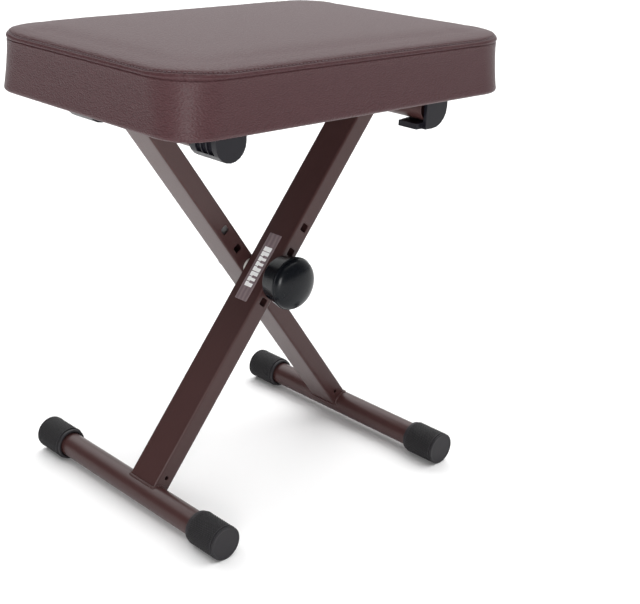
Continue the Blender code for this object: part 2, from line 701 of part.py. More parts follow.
def make_knob(washer_body, knob_body):
    """The clamp knob on the bolt's front end, the nut moulded into it, and its loose washer."""
    bore = BOLT_RADIUS + TOUCH
    place = (0, -WASHER_MIDDLE, PIVOT_HEIGHT)
    washer = ring("knob_washer", bore, WASHER_RADIUS, WASHER_THICKNESS, place, HOLE_STEPS)
    finish(washer, "plated_steel", washer_body)

    dome = []
    for step in range(KNOB_DOME_STEPS + 1):
        angle = step / KNOB_DOME_STEPS * math.pi / 2
        dome.append((KNOB_RIM_RADIUS * math.sin(angle), KNOB_RIM_DEPTH + KNOB_DOME * math.cos(angle)))
    bore_end = BOLT_IN_KNOB + BOLT_END_ROOM
    profile = dome + [
        (KNOB_RIM_RADIUS, KNOB_RIM_DEPTH - KNOB_RIM_WIDTH),
        (KNOB_BACK_RADIUS, KNOB_RIM_WIDTH),
        (KNOB_BACK_RADIUS, 0),
        (bore, 0),
        (bore, bore_end),
        (0, bore_end),
    ]
    place = (0, -WASHER_FACE, PIVOT_HEIGHT)
    knob = turned("clamp_knob", profile, TO_FRONT, place)
    pocket_length = 2 * (INSERT_LENGTH + 2 * TOUCH)
    cut(knob, rod_cutter("knob_pocket", INSERT_RADIUS + TOUCH, pocket_length, TO_FRONT, place, 6))
    finish(knob, "knob_plastic", knob_body)

    place = (0, -WASHER_FACE - TOUCH - INSERT_LENGTH / 2, PIVOT_HEIGHT)
    blank = [
        (INSERT_RADIUS, INSERT_LENGTH / 2),
        (INSERT_RADIUS, -INSERT_LENGTH / 2),
        (0, -INSERT_LENGTH / 2),
    ]
    nut = turned("knob_nut", [(0, INSERT_LENGTH / 2)] + blank, TO_FRONT, place, 6)
    cut(nut, rod_cutter("knob_nut_bore", bore, INSERT_LENGTH + PAST, TO_FRONT, place, HOLE_STEPS))
    finish(nut, "plated_steel", knob_body)


def make_bench():
    """Builds the bench, body by body."""
    pivot = (0, 0, PIVOT_HEIGHT)
    rear_frame = body_empty("rear_frame_body", pivot)
    front_frame = body_empty("front_frame_body", pivot, rear_frame)
    seat = body_empty("seat_body", (-CROSSBAR_REACH, 0, CROSSBAR_HEIGHT), rear_frame)
    washer_body = body_empty("washer_body", pivot, rear_frame)
    knob_body = body_empty("knob_body", pivot, washer_body)

    make_leg_frame(rear_frame, "rear", -1)
    make_leg_frame(front_frame, "front", 1)
    make_label(front_frame)
    make_pivot_bolt(rear_frame)
    make_knob(washer_body, knob_body)

    all_holes = []
    for end, end_name in ((-1, "front"), (1, "rear")):
        hinge_holes = make_screws(seat, "hinge", -1, end, end_name)
        hook_holes = make_screws(seat, "hook", 1, end, end_name)
        make_hinge_bracket(seat, end, end_name, hinge_holes)
        make_hook_bracket(seat, end, end_name, hook_holes)
        all_holes += hinge_holes + hook_holes
    make_board(seat, all_holes)
    make_dust_cover(seat, all_holes)
    make_foam(seat)
    make_cover(seat)


clear_scene()
PARTS = new_collection("piano_bench")
CUTTERS = new_collection("cutters")
MATERIALS = make_materials()
make_bench()
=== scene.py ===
"""Looks of a folding X-frame piano bench, laid out as an add-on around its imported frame.

Metres, +Z up, origin on the floor under the middle of the seat. +X runs from the seat's hinged end to
its hooked end, and -Y is the side of the clamp knob. Each operator makes one piece, or one group of
like pieces, from numpy surfaces whose places come from the frame's own nodes and joints.
"""

import json
import math

import bmesh
import bpy
import numpy as np
from mathutils import Matrix, Vector


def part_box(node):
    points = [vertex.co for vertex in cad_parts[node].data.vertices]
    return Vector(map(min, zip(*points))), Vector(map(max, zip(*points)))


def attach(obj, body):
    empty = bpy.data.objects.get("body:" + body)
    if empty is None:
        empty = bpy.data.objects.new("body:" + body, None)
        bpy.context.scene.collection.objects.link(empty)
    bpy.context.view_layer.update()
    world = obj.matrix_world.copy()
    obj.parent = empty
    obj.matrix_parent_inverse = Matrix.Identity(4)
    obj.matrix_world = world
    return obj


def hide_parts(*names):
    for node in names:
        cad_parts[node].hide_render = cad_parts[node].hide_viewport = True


bl_info = {
    "name": "Folding Piano Bench",
    "version": (1, 0, 0),
    "blender": (4, 5, 0),
    "location": "3D View > Sidebar > Piano Bench",
    "description": "Upholstered seat on a powder-coated folding X frame with a clamp knob",
    "category": "Add Mesh",
}

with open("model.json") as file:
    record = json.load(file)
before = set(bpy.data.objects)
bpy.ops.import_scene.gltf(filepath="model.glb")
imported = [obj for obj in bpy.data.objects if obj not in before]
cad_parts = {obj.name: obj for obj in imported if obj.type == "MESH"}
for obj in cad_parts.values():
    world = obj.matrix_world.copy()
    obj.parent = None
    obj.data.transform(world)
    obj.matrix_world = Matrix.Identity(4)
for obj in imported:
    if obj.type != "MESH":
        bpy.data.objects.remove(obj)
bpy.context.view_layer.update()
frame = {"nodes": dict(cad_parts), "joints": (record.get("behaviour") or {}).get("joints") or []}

MM = 0.001
X, Y, Z = np.eye(3)

# Places read from the frame
BOX = {name: np.array(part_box(name)) for name in frame["nodes"]}
MIDDLE = {name: corners.mean(axis=0) for name, corners in BOX.items()}
PIVOT = np.array(next(j["pos_m"] for j in frame["joints"] if j["name"] == "leg_fold"))
SEAT_HALF = BOX["cover_side_band"][1][:2]
SEAT_BOTTOM, SEAM = BOX["cover_side_band"][:, 2]
SEAT_TOP = BOX["cover_top_panel"][1][2]
BOARD_TOP = BOX["seat_board"][1][2]
BAR_RADIUS = (BOX["front_crossbar"][1] - BOX["front_crossbar"][0])[2] / 2
FOOT_RADIUS = (BOX["front_foot_tube"][1] - BOX["front_foot_tube"][0])[2] / 2
CAP_HALF = (BOX["front_foot_cap_front"][1] - BOX["front_foot_cap_front"][0]) / 2
GAP = 0.3 * MM  # the frame's own clearance between pieces that touch


def linear(colour):
    """An sRGB hex colour as linear red, green and blue."""
    srgb = np.array([int(colour[i : i + 2], 16) for i in (1, 3, 5)]) / 255
    return tuple(np.where(srgb <= 0.04045, srgb / 12.92, ((srgb + 0.055) / 1.055) ** 2.4))


# Settings -------------------------------------------------------------------------------------


def length_setting(name, description, default):
    """A length that a user can change."""
    return bpy.props.FloatProperty(
        name=name, description=description, default=default, min=0, unit="LENGTH", precision=5
    )


def colour_setting(name, description, default):
    """A colour that a user can change, given as sRGB hex."""
    return bpy.props.FloatVectorProperty(
        name=name, description=description, default=linear(default), subtype="COLOR", min=0, max=1
    )


class SeatSettings(bpy.types.PropertyGroup):
    """Upholstery of the seat."""

    vinyl: colour_setting("Vinyl", "Colour of the leathercloth", "#482c2f")
    thread: colour_setting("Thread", "Colour of the top stitching", "#453033")
    lining: colour_setting("Dust cloth", "Colour of the cloth under the board", "#1b1a1c")
    crown: length_setting("Crown", "Rise of the cut top panel before it is stuffed", 1.8 * MM)
    stuffing: length_setting("Stuffing", "Most that the foam pushes the top panel out", 3.6 * MM)
    edge_roll: length_setting("Edge roll", "Reach of the top panel's rounded edge", 14.5 * MM)
    edge_drop: length_setting("Edge drop", "Height of the top panel's rounded edge", 9.5 * MM)
    bottom_roll: length_setting("Bottom roll", "Radius of the turn under the board", 3.6 * MM)
    bottom_corner: length_setting("Bottom corner", "Plan radius at the bottom edge", 40 * MM)
    top_corner: length_setting("Top corner", "Plan radius at the seam", 51 * MM)
    turn_under: length_setting("Turn-under", "Reach of the vinyl under the board", 24 * MM)
    vinyl_thickness: length_setting("Vinyl thickness", "Thickness of the leathercloth", 1.2 * MM)
    stitch_rise: length_setting("Stitch line", "Height of the top stitching over the seam", 4.6 * MM)
    corner_lift: length_setting("Corner lift", "Rise of the stitching round each corner", 1.7 * MM)
    stitch_pitch: length_setting("Stitch pitch", "From one stitch to the next", 4.2 * MM)
    staple_pitch: length_setting("Staple pitch", "From one staple to the next", 34 * MM)


class FrameSettings(bpy.types.PropertyGroup):
    """Steel tubes, brackets and rubber caps."""

    paint: colour_setting("Paint", "Colour of the powder coat", "#3f2827")
    bracket: colour_setting("Brackets", "Colour of the moulded brackets", "#121118")
    rubber: colour_setting("Rubber", "Colour of the foot caps", "#242225")
    leg_thick: length_setting("Leg depth", "Leg tube's side in the plane of the X", 20 * MM)
    leg_corner: length_setting("Leg corner", "Outer corner radius of the leg tube", 2 * MM)
    leg_wall: length_setting("Leg wall", "Wall of the leg tube", 1.5 * MM)
    tube_wall: length_setting("Tube wall", "Wall of the round tubes", 1.4 * MM)
    hole_half: length_setting("Height hole", "Half a side of each square height hole", 4.15 * MM)
    hole_pitch: length_setting("Hole pitch", "From one height hole to the next", 28.5 * MM)
    vent_radius: length_setting("Drain hole", "Radius of the drain hole near the foot", 2.2 * MM)
    vent_rise: length_setting("Drain hole rise", "From the foot's axis, up the leg", 22 * MM)
    weld: length_setting("Weld", "Radius of each weld bead", 1.5 * MM)
    knurl_pitch: length_setting("Knurl pitch", "Between the knurl's ridges on the caps", 2.5 * MM)
    knurl_depth: length_setting("Knurl depth", "Depth of the knurl on the caps", 0.6 * MM)


class PivotSettings(bpy.types.PropertyGroup):
    """Clamp knob, bolt and label at the crossing."""

    knob: colour_setting("Knob", "Colour of the clamp knob", "#0f1115")
    nylon: colour_setting("Spacer", "Colour of the nylon spacer", "#c9c6c0")
    zinc: colour_setting("Zinc", "Colour of the plated steel", "#b9bcbf")
    film: colour_setting("Label", "Colour of the label's film", "#7a6a6d")
    ink: colour_setting("Label print", "Colour of the label's key motif", "#ffffff")
    label_length: length_setting("Label length", "Along the leg", 75 * MM)
    label_width: length_setting("Label width", "Across the leg", 17 * MM)
    keys: bpy.props.IntProperty(
        name="Keys", description="White keys drawn on the label", default=8, min=2, max=20
    )


class StageSettings(bpy.types.PropertyGroup):
    """Camera, floor and studio light."""

    azimuth: bpy.props.FloatProperty(
        name="Azimuth",
        description="Camera's turn from the bench's front towards its left",
        default=math.radians(42.2),
        subtype="ANGLE",
    )
    elevation: bpy.props.FloatProperty(
        name="Elevation",
        description="Camera's height above the horizon",
        default=math.radians(20),
        subtype="ANGLE",
    )
    roll: bpy.props.FloatProperty(
        name="Roll", description="Camera's tilt", default=math.radians(1.9), subtype="ANGLE"
    )
    distance: length_setting("Distance", "Camera's distance from its target", 1.2772)
    target_height: length_setting("Target", "Height that the camera looks at", 0.194)
    lens: bpy.props.FloatProperty(
        name="Lens", description="Focal length in millimetres", default=70.1, min=1
    )
    shift_x: bpy.props.FloatProperty(name="Shift X", description="Sideways shift", default=0.109)
    shift_y: bpy.props.FloatProperty(name="Shift Y", description="Vertical shift", default=-0.0266)
    floor: colour_setting("Floor", "Colour of the floor", "#f9f9f9")
    room: bpy.props.FloatProperty(
        name="Room", description="Brightness behind the camera", default=0.1, min=0
    )
    backdrop: bpy.props.FloatProperty(
        name="Backdrop", description="Brightness behind the bench", default=0.95, min=0
    )
    overhead: bpy.props.FloatProperty(
        name="Overhead light", description="Light from overhead, in W/m2", default=3.5, min=0
    )
    key: bpy.props.FloatProperty(
        name="Key light", description="Light from beside the camera, in watts", default=26, min=0
    )


class BenchSettings(bpy.types.PropertyGroup):
    """All settings of the bench."""

    seat: bpy.props.PointerProperty(type=SeatSettings)
    steel: bpy.props.PointerProperty(type=FrameSettings)
    pivot: bpy.props.PointerProperty(type=PivotSettings)
    stage: bpy.props.PointerProperty(type=StageSettings)


# Meshes ---------------------------------------------------------------------------------------


def grid(points, wrap=True):
    """A (rows, columns, 3) grid as its points and the quads between neighbours.

    With wrap the last column is joined to the first.
    """
    rows, columns = points.shape[:2]
    number = np.arange(rows * columns).reshape(rows, columns)
    if wrap:
        number = np.concatenate((number, number[:, :1]), axis=1)
    corners = (number[:-1, :-1], number[:-1, 1:], number[1:, 1:], number[1:, :-1])
    return points.reshape(-1, 3), np.stack(corners, axis=-1).reshape(-1, 4)


def joined(parts):
    """Several (points, quads) parts as one."""
    starts = np.cumsum([0] + [len(points) for points, _ in parts[:-1]])
    points = np.concatenate([points for points, _ in parts])
    return points, np.concatenate([quads + start for (_, quads), start in zip(parts, starts)])


def repeated(part, origins, frames):
    """Copies of one small part: each point's u, v, w runs along its frame's three rows."""
    points, quads = part
    placed = origins[:, None, :] + np.einsum("pk,nkj->npj", points, frames)
    starts = np.arange(len(origins))[:, None, None] * len(points)
    return placed.reshape(-1, 3), (quads[None] + starts).reshape(-1, 4)


def make_mesh(name, part):
    """A mesh of quads, welded where rows meet or shrink to a pole, with its faces outwards."""
    points, quads = part
    mesh = bpy.data.meshes.new(name)
    mesh.vertices.add(len(points))
    mesh.vertices.foreach_set("co", points.astype(np.float32).ravel())
    mesh.loops.add(quads.size)
    mesh.loops.foreach_set("vertex_index", quads.astype(np.int32).ravel())
    mesh.polygons.add(len(quads))
    mesh.polygons.foreach_set("loop_start", np.arange(0, quads.size, 4, dtype=np.int32))
    mesh.polygons.foreach_set("loop_total", np.full(len(quads), 4, dtype=np.int32))
    mesh.update(calc_edges=True)
    bm = bmesh.new()
    bm.from_mesh(mesh)
    bmesh.ops.remove_doubles(bm, verts=bm.verts, dist=1e-6)
    bmesh.ops.dissolve_degenerate(bm, edges=bm.edges, dist=1e-7)
    bmesh.ops.recalc_face_normals(bm, faces=bm.faces)
    bm.to_mesh(mesh)
    bm.free()
    return mesh


def place_piece(obj, material, body, replaced=(), sharp=40):
    """Shades a piece smooth up to the sharp angle, paints it and puts it on its body."""
    obj.data.shade_smooth()
    obj.data.set_sharp_from_angle(angle=math.radians(sharp))
    obj.data.materials.clear()
    obj.data.materials.append(material)
    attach(obj, body)
    if replaced:
        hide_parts(*replaced)
    return obj


def new_piece(name, part, material, body, replaced=(), sharp=40):
    """A finished piece made from one (points, quads) part."""
    obj = bpy.data.objects.new(name, make_mesh(name, part))
    bpy.context.scene.collection.objects.link(obj)
    return place_piece(obj, material, body, replaced, sharp)


def rounded_line(corners, steps=6):
    """A line through (x, y, cut) corners, each cut back by its length and bridged by a parabola.

    With A and B the cut points, a bridge is (1-t)^2 A + 2t(1-t) corner + t^2 B.
    """
    corners = np.array(corners, float)
    place, cut = corners[:, :2], corners[:, 2:]
    before = np.diff(place, axis=0, prepend=place[:1])
    after = np.diff(place, axis=0, append=place[-1:])
    before /= np.maximum(np.linalg.norm(before, axis=1, keepdims=True), 1e-9)
    after /= np.maximum(np.linalg.norm(after, axis=1, keepdims=True), 1e-9)
    first, last = place - before * cut, place + after * cut
    t = np.linspace(0, 1, steps)[None, :, None]
    bridge = (1 - t) ** 2 * first[:, None] + 2 * t * (1 - t) * place[:, None] + t**2 * last[:, None]
    line = bridge.reshape(-1, 2)
    moved = np.linalg.norm(np.diff(line, axis=0), axis=1) > 1e-7
    return line[np.concatenate(([True], moved))]


def turned(line, middle, axis=Y, columns=96):
    """A (radius, height) line swept round an axis: across it by radius times cosine and sine.

    The radius may be a (rows, columns) array, which gives the surface a relief.
    """
    radius, height = line if isinstance(line, tuple) else (line[:, :1], line[:, 1:])
    angle = np.linspace(0, 2 * math.pi, columns, endpoint=False)
    across = np.cross(axis, Z if abs(axis[2]) < 0.9 else X)
    beside = np.cross(axis, across)
    turn = np.cos(angle)[:, None] * across + np.sin(angle)[:, None] * beside
    return grid(middle + radius[..., None] * turn + height[..., None] * axis)


def tube_line(inner, outer, low, high, edge=0.4 * MM):
    """The closed line of a ring's wall, with softened edges, from the middle of its end face."""
    start = ((inner + outer) / 2, high, 0)
    outside = [(outer, high, edge), (outer, low, edge)]
    inside = [(inner, low, edge), (inner, high, edge)]
    return rounded_line([start, *outside, *inside, start])


def swept(path, normal, radius, sides=8, closed=True):
    """A round section carried along a path: radius times cosine along the normal and sine beside it."""
    if closed:
        tangent = np.roll(path, -1, axis=0) - np.roll(path, 1, axis=0)
    else:
        tangent = np.gradient(path, axis=0)
    tangent /= np.linalg.norm(tangent, axis=1, keepdims=True)
    beside = np.cross(tangent, normal)
    beside /= np.linalg.norm(beside, axis=1, keepdims=True)
    upward = np.cross(beside, tangent)
    angle = np.linspace(0, 2 * math.pi, sides, endpoint=False)[None, :, None]
    ring = np.cos(angle) * upward[:, None] + np.sin(angle) * beside[:, None]
    points = path[:, None] + np.broadcast_to(radius, len(path))[:, None, None] * ring
    if closed:
        points = np.concatenate((points, points[:1]))
    return grid(points)


def even_steps(path, pitch):
    """Points at equal steps along a closed path, near one pitch apart, and their unit tangents."""
    ring = np.concatenate((path, path[:1]))
    run = np.concatenate(([0], np.cumsum(np.linalg.norm(np.diff(ring, axis=0), axis=1))))
    count = round(run[-1] / pitch)
    stops = np.arange(count) * run[-1] / count
    places = np.stack([np.interp(stops, run, ring[:, k]) for k in range(3)], axis=1)
    ahead = np.stack([np.interp(stops + pitch / 9, run, ring[:, k]) for k in range(3)], axis=1)
    tangent = ahead - places
    return places, tangent / np.linalg.norm(tangent, axis=1, keepdims=True)


# Materials ------------------------------------------------------------------------------------

MIX_A, MIX_B, MIX_RESULT = 6, 7, 2  # a Mix node's colour sockets


def node(tree, kind, inputs=(), **settings):
    """Adds one node with its settings, and sets or links each of its inputs."""
    made = tree.nodes.new(kind)
    for name, value in settings.items():
        setattr(made, name, value)
    for socket, value in dict(inputs).items():
        if isinstance(value, bpy.types.NodeSocket):
            tree.links.new(value, made.inputs[socket])
        else:
            made.inputs[socket].default_value = value
    return made


def new_material(name, **inputs):
    """A Principled material with these inputs: its tree, its shader and its Object coordinates."""
    material = bpy.data.materials.new(name)
    material.use_nodes = True
    tree = material.node_tree
    shader = tree.nodes["Principled BSDF"]
    for socket, value in inputs.items():
        shader.inputs[socket.replace("_", " ")].default_value = value
    place = node(tree, "ShaderNodeTexCoord").outputs["Object"]
    return material, tree, shader, place


def repeats(size):
    """The texture scale whose pattern repeats about once in this many metres."""
    return 1 / size


def shaded(colour, share):
    """A colour made lighter or darker by this share, with its alpha."""
    return (*[min(channel * share, 1) for channel in colour], 1)


def varied(tree, place, colour, size, spread):
    """A colour that drifts either way by a share, over patches of this size."""
    drift = node(tree, "ShaderNodeTexNoise", {"Vector": place, "Scale": repeats(size), "Detail": 3})
    pair = {0: drift.outputs["Fac"], MIX_A: shaded(colour, 1 - spread), MIX_B: shaded(colour, 1 + spread)}
    return node(tree, "ShaderNodeMix", pair, data_type="RGBA").outputs[MIX_RESULT]


def raised(tree, height, depth, under=None):
    """A bump of this real depth from a height between 0 and 1, laid over another bump."""
    inputs = {"Height": height, "Distance": depth, "Strength": 1}
    if under is not None:
        inputs["Normal"] = under
    return node(tree, "ShaderNodeBump", inputs).outputs["Normal"]


def spread_of(tree, height, low, high):
    """A height between 0 and 1 mapped to a range, for roughness."""
    inputs = {"Value": height, "To Min": low, "To Max": high}
    return node(tree, "ShaderNodeMapRange", inputs).outputs["Result"]


def leathercloth(colour):
    """Calendered PVC leathercloth, embossed with a pebble grain: soft sheen, and painted shade that darkens
    the valleys.
    """
    material, tree, shader, place = new_material("embossed_pvc_leathercloth", IOR=1.5)
    shader.inputs["Specular IOR Level"].default_value = 0.24
    # pebbles are about 1 mm across, drawn at 2 mm and flattened so that they show as creases
    place = node(tree, "ShaderNodeVectorMath", {0: place, 1: (1, 1, 1.7)}, operation="MULTIPLY").outputs[0]
    wander = node(tree, "ShaderNodeTexNoise", {"Vector": place, "Scale": repeats(2 * MM), "Detail": 2})
    bent = node(
        tree,
        "ShaderNodeMix",
        {0: 0.0004, MIX_A: place, MIX_B: wander.outputs["Color"]},
        data_type="RGBA",
        blend_type="ADD",
    )
    pebble = node(
        tree,
        "ShaderNodeTexVoronoi",
        {"Vector": bent.outputs[MIX_RESULT], "Scale": repeats(2.1 * MM), "Smoothness": 0.35},
        feature="SMOOTH_F1",
    )
    crease = node(tree, "ShaderNodeTexNoise", {"Vector": place, "Scale": repeats(0.7 * MM), "Detail": 3})
    tone = varied(tree, place, colour, 60 * MM, 0.05)
    # painted shade: the colour darkens towards the valleys between the pebbles
    valley_shade_pair = {0: pebble.outputs["Distance"], MIX_A: tone, MIX_B: shaded(colour, 0.72)}
    valley_shaded_colour = node(tree, "ShaderNodeMix", valley_shade_pair, data_type="RGBA")
    tree.links.new(valley_shaded_colour.outputs[MIX_RESULT], shader.inputs["Base Color"])
    rough = spread_of(tree, crease.outputs["Fac"], 0.36, 0.52)
    tree.links.new(rough, shader.inputs["Roughness"])
    inverse = node(tree, "ShaderNodeMath", {0: 1.0, 1: pebble.outputs["Distance"]}, operation="SUBTRACT")
    grain = raised(tree, inverse.outputs["Value"], 0.34 * MM)
    bump = raised(tree, crease.outputs["Fac"], 0.05 * MM, grain)
    tree.links.new(bump, shader.inputs["Normal"])
    return material


def powder_coat(colour):
    """Polyester powder coat baked on steel tube: satin, with a fine orange peel."""
    material, tree, shader, place = new_material("powder_coated_steel", IOR=1.5)
    shader.inputs["Specular IOR Level"].default_value = 0.32
    peel = node(tree, "ShaderNodeTexNoise", {"Vector": place, "Scale": repeats(2.2 * MM), "Detail": 2})
    speck = node(tree, "ShaderNodeTexNoise", {"Vector": place, "Scale": repeats(0.5 * MM), "Detail": 2})
    tree.links.new(varied(tree, place, colour, 45 * MM, 0.08), shader.inputs["Base Color"])
    tree.links.new(spread_of(tree, speck.outputs["Fac"], 0.26, 0.44), shader.inputs["Roughness"])
    bump = raised(tree, peel.outputs["Fac"], 0.09 * MM)
    bump = raised(tree, speck.outputs["Fac"], 0.012 * MM, bump)
    tree.links.new(bump, shader.inputs["Normal"])
    return material


def moulded_nylon(name, colour, low, high, grain):
    """Injection-moulded glass-filled nylon: fine spark-eroded grain and faint flow marks."""
    material, tree, shader, place = new_material(name, IOR=1.53)
    shader.inputs["Specular IOR Level"].default_value = 0.2
    fine = node(tree, "ShaderNodeTexNoise", {"Vector": place, "Scale": repeats(grain), "Detail": 3})
    flow = node(tree, "ShaderNodeTexNoise", {"Vector": place, "Scale": repeats(12 * MM), "Detail": 2})
    tree.links.new(varied(tree, place, colour, 20 * MM, 0.1), shader.inputs["Base Color"])
    tree.links.new(spread_of(tree, flow.outputs["Fac"], low, high), shader.inputs["Roughness"])
    tree.links.new(raised(tree, fine.outputs["Fac"], 0.04 * MM), shader.inputs["Normal"])
    return material


def polished_phenolic(colour):
    """Compression-moulded phenolic, polished: deep black gloss with faint ripples."""
    material, tree, shader, place = new_material("polished_phenolic", IOR=1.6)
    shader.inputs["Specular IOR Level"].default_value = 0.14
    ripple = node(tree, "ShaderNodeTexNoise", {"Vector": place, "Scale": repeats(9 * MM), "Detail": 1})
    haze = node(tree, "ShaderNodeTexNoise", {"Vector": place, "Scale": repeats(3 * MM), "Detail": 4})
    tree.links.new(varied(tree, place, colour, 15 * MM, 0.08), shader.inputs["Base Color"])
    tree.links.new(spread_of(tree, haze.outputs["Fac"], 0.16, 0.32), shader.inputs["Roughness"])
    tree.links.new(raised(tree, ripple.outputs["Fac"], 0.05 * MM), shader.inputs["Normal"])
    return material


def moulded_rubber(colour):
    """Compression-moulded rubber: matt, a little dusty, with painted shade that darkens the grooves of its
    knurl.
    """
    material, tree, shader, place = new_material("moulded_rubber", IOR=1.52)
    shader.inputs["Specular IOR Level"].default_value = 0.3
    dust = node(tree, "ShaderNodeTexNoise", {"Vector": place, "Scale": repeats(7 * MM), "Detail": 4})
    fine = node(tree, "ShaderNodeTexNoise", {"Vector": place, "Scale": repeats(0.6 * MM), "Detail": 2})
    pair = {0: dust.outputs["Fac"], MIX_A: shaded(colour, 0.9), MIX_B: shaded(colour, 1.5)}
    tone = node(tree, "ShaderNodeMix", pair, data_type="RGBA")
    # painted shade: the relief attribute mixes the knurl's grooves towards near black
    relief = node(tree, "ShaderNodeAttribute", attribute_name="relief").outputs["Fac"]
    pair = {0: relief, MIX_A: shaded(colour, 0.12), MIX_B: tone.outputs[MIX_RESULT]}
    knurl_groove_shade = node(tree, "ShaderNodeMix", pair, data_type="RGBA")
    tree.links.new(knurl_groove_shade.outputs[MIX_RESULT], shader.inputs["Base Color"])
    tree.links.new(spread_of(tree, dust.outputs["Fac"], 0.5, 0.7), shader.inputs["Roughness"])
    tree.links.new(raised(tree, fine.outputs["Fac"], 0.03 * MM), shader.inputs["Normal"])
    return material


def zinc_plate(colour):
    """Bright zinc plate on steel: soft reflections with cloudy patches."""
    material, tree, shader, place = new_material("zinc_plated_steel", Metallic=1.0)
    cloud = node(tree, "ShaderNodeTexNoise", {"Vector": place, "Scale": repeats(4 * MM), "Detail": 4})
    tree.links.new(varied(tree, place, colour, 5 * MM, 0.12), shader.inputs["Base Color"])
    tree.links.new(spread_of(tree, cloud.outputs["Fac"], 0.22, 0.42), shader.inputs["Roughness"])
    tree.links.new(raised(tree, cloud.outputs["Fac"], 0.02 * MM), shader.inputs["Normal"])
    return material


def label_film(colour):
    """Satin polyester label film, printed with fine lines along its length: its own UV runs along it."""
    material, tree, shader, _ = new_material("printed_polyester_film", IOR=1.57)
    place = node(tree, "ShaderNodeUVMap", uv_map="along").outputs["UV"]
    # lines are 0.3 mm apart, drawn at 0.9 mm so that they show
    lines = node(
        tree,
        "ShaderNodeTexWave",
        {"Vector": place, "Scale": repeats(0.9 * MM) / 20, "Distortion": 2.5, "Detail": 2},
        bands_direction="Y",
    )
    pair = {0: lines.outputs["Fac"], MIX_A: shaded(colour, 0.82), MIX_B: shaded(colour, 1.22)}
    tone = node(tree, "ShaderNodeMix", pair, data_type="RGBA")
    tree.links.new(tone.outputs[MIX_RESULT], shader.inputs["Base Color"])
    tree.links.new(spread_of(tree, lines.outputs["Fac"], 0.3, 0.42), shader.inputs["Roughness"])
    return material


def screen_ink(name, colour):
    """Screen-printed ink: a thin, slightly uneven coat with a low gloss."""
    material, tree, shader, place = new_material(name, IOR=1.48)
    uneven = node(tree, "ShaderNodeTexNoise", {"Vector": place, "Scale": repeats(1.2 * MM), "Detail": 3})
    tree.links.new(varied(tree, place, colour, 3 * MM, 0.04), shader.inputs["Base Color"])
    tree.links.new(spread_of(tree, uneven.outputs["Fac"], 0.35, 0.5), shader.inputs["Roughness"])
    return material


def spun_thread(colour):
    """Bonded polyester thread: a slight sheen and a fine twist along each stitch."""
    material, tree, shader, place = new_material("bonded_polyester_thread", Roughness=0.55)
    shader.inputs["Sheen Weight"].default_value = 0.3
    twist = node(tree, "ShaderNodeTexNoise", {"Vector": place, "Scale": repeats(0.5 * MM), "Detail": 2})
    pair = {0: twist.outputs["Fac"], MIX_A: shaded(colour, 0.7), MIX_B: shaded(colour, 1.25)}
    tone = node(tree, "ShaderNodeMix", pair, data_type="RGBA")
    tree.links.new(tone.outputs[MIX_RESULT], shader.inputs["Base Color"])
    tree.links.new(raised(tree, twist.outputs["Fac"], 0.08 * MM), shader.inputs["Normal"])
    return material


def spunbond_cloth(colour):
    """Spunbond polypropylene: matted fibres, pressed into a lattice of small dots."""
    material, tree, shader, place = new_material("spunbond_polypropylene", Roughness=0.85)
    shader.inputs["Sheen Weight"].default_value = 0.15
    # bond dots are 1.2 mm apart, drawn at 2 mm so that they show
    dots = node(
        tree,
        "ShaderNodeTexVoronoi",
        {"Vector": place, "Scale": repeats(2 * MM), "Randomness": 0.15},
    )
    fibre = node(tree, "ShaderNodeTexNoise", {"Vector": place, "Scale": repeats(0.8 * MM), "Detail": 5})
    pair = {0: fibre.outputs["Fac"], MIX_A: shaded(colour, 0.6), MIX_B: shaded(colour, 1.7)}
    tone = node(tree, "ShaderNodeMix", pair, data_type="RGBA")
    tree.links.new(tone.outputs[MIX_RESULT], shader.inputs["Base Color"])
    bump = raised(tree, dots.outputs["Distance"], 0.15 * MM)
    tree.links.new(raised(tree, fibre.outputs["Fac"], 0.1 * MM, bump), shader.inputs["Normal"])
    return material


def birch_plywood():
    """Birch plywood with a rotary-cut face: pale, with broad wandering grain."""
    material, tree, shader, place = new_material("birch_plywood", Roughness=0.7)
    grain = node(
        tree,
        "ShaderNodeTexWave",
        {"Vector": place, "Scale": repeats(12 * MM) / 20, "Distortion": 6, "Detail": 3},
        bands_direction="Y",
    )
    pale, dark = linear("#d2b48a"), linear("#b28d5f")
    pair = {0: grain.outputs["Fac"], MIX_A: shaded(pale, 1), MIX_B: shaded(dark, 1)}
    tone = node(tree, "ShaderNodeMix", pair, data_type="RGBA")
    tree.links.new(tone.outputs[MIX_RESULT], shader.inputs["Base Color"])
    tree.links.new(raised(tree, grain.outputs["Fac"], 0.1 * MM), shader.inputs["Normal"])
    return material


# Seat -----------------------------------------------------------------------------------------

CORNER_COLUMNS = 34  # grid columns round each of the seat's corners
LONG_COLUMNS = 76  # along each long side
SHORT_COLUMNS = 50  # along each short side
TOP_ROWS = 44  # grid rows from the top panel's edge to its middle
CORNER_POWER = 2.25  # of the superellipse that each corner follows: 2 is a circle
SIDE_PULL = 1.1 * MM  # how far the sides pull in between the seam and the bottom
EDGE_POWER = 1.6  # of the top panel's edge: 2 would be an ellipse, and 1 a plain chamfer
BAND_BULGE = 0.25 * MM  # of the narrow band between the seam and the top stitching
SEAM_DEPTH, SEAM_WIDTH = 0.8 * MM, 0.6 * MM
STITCH_DEPTH, STITCH_WIDTH = 0.6 * MM, 0.6 * MM


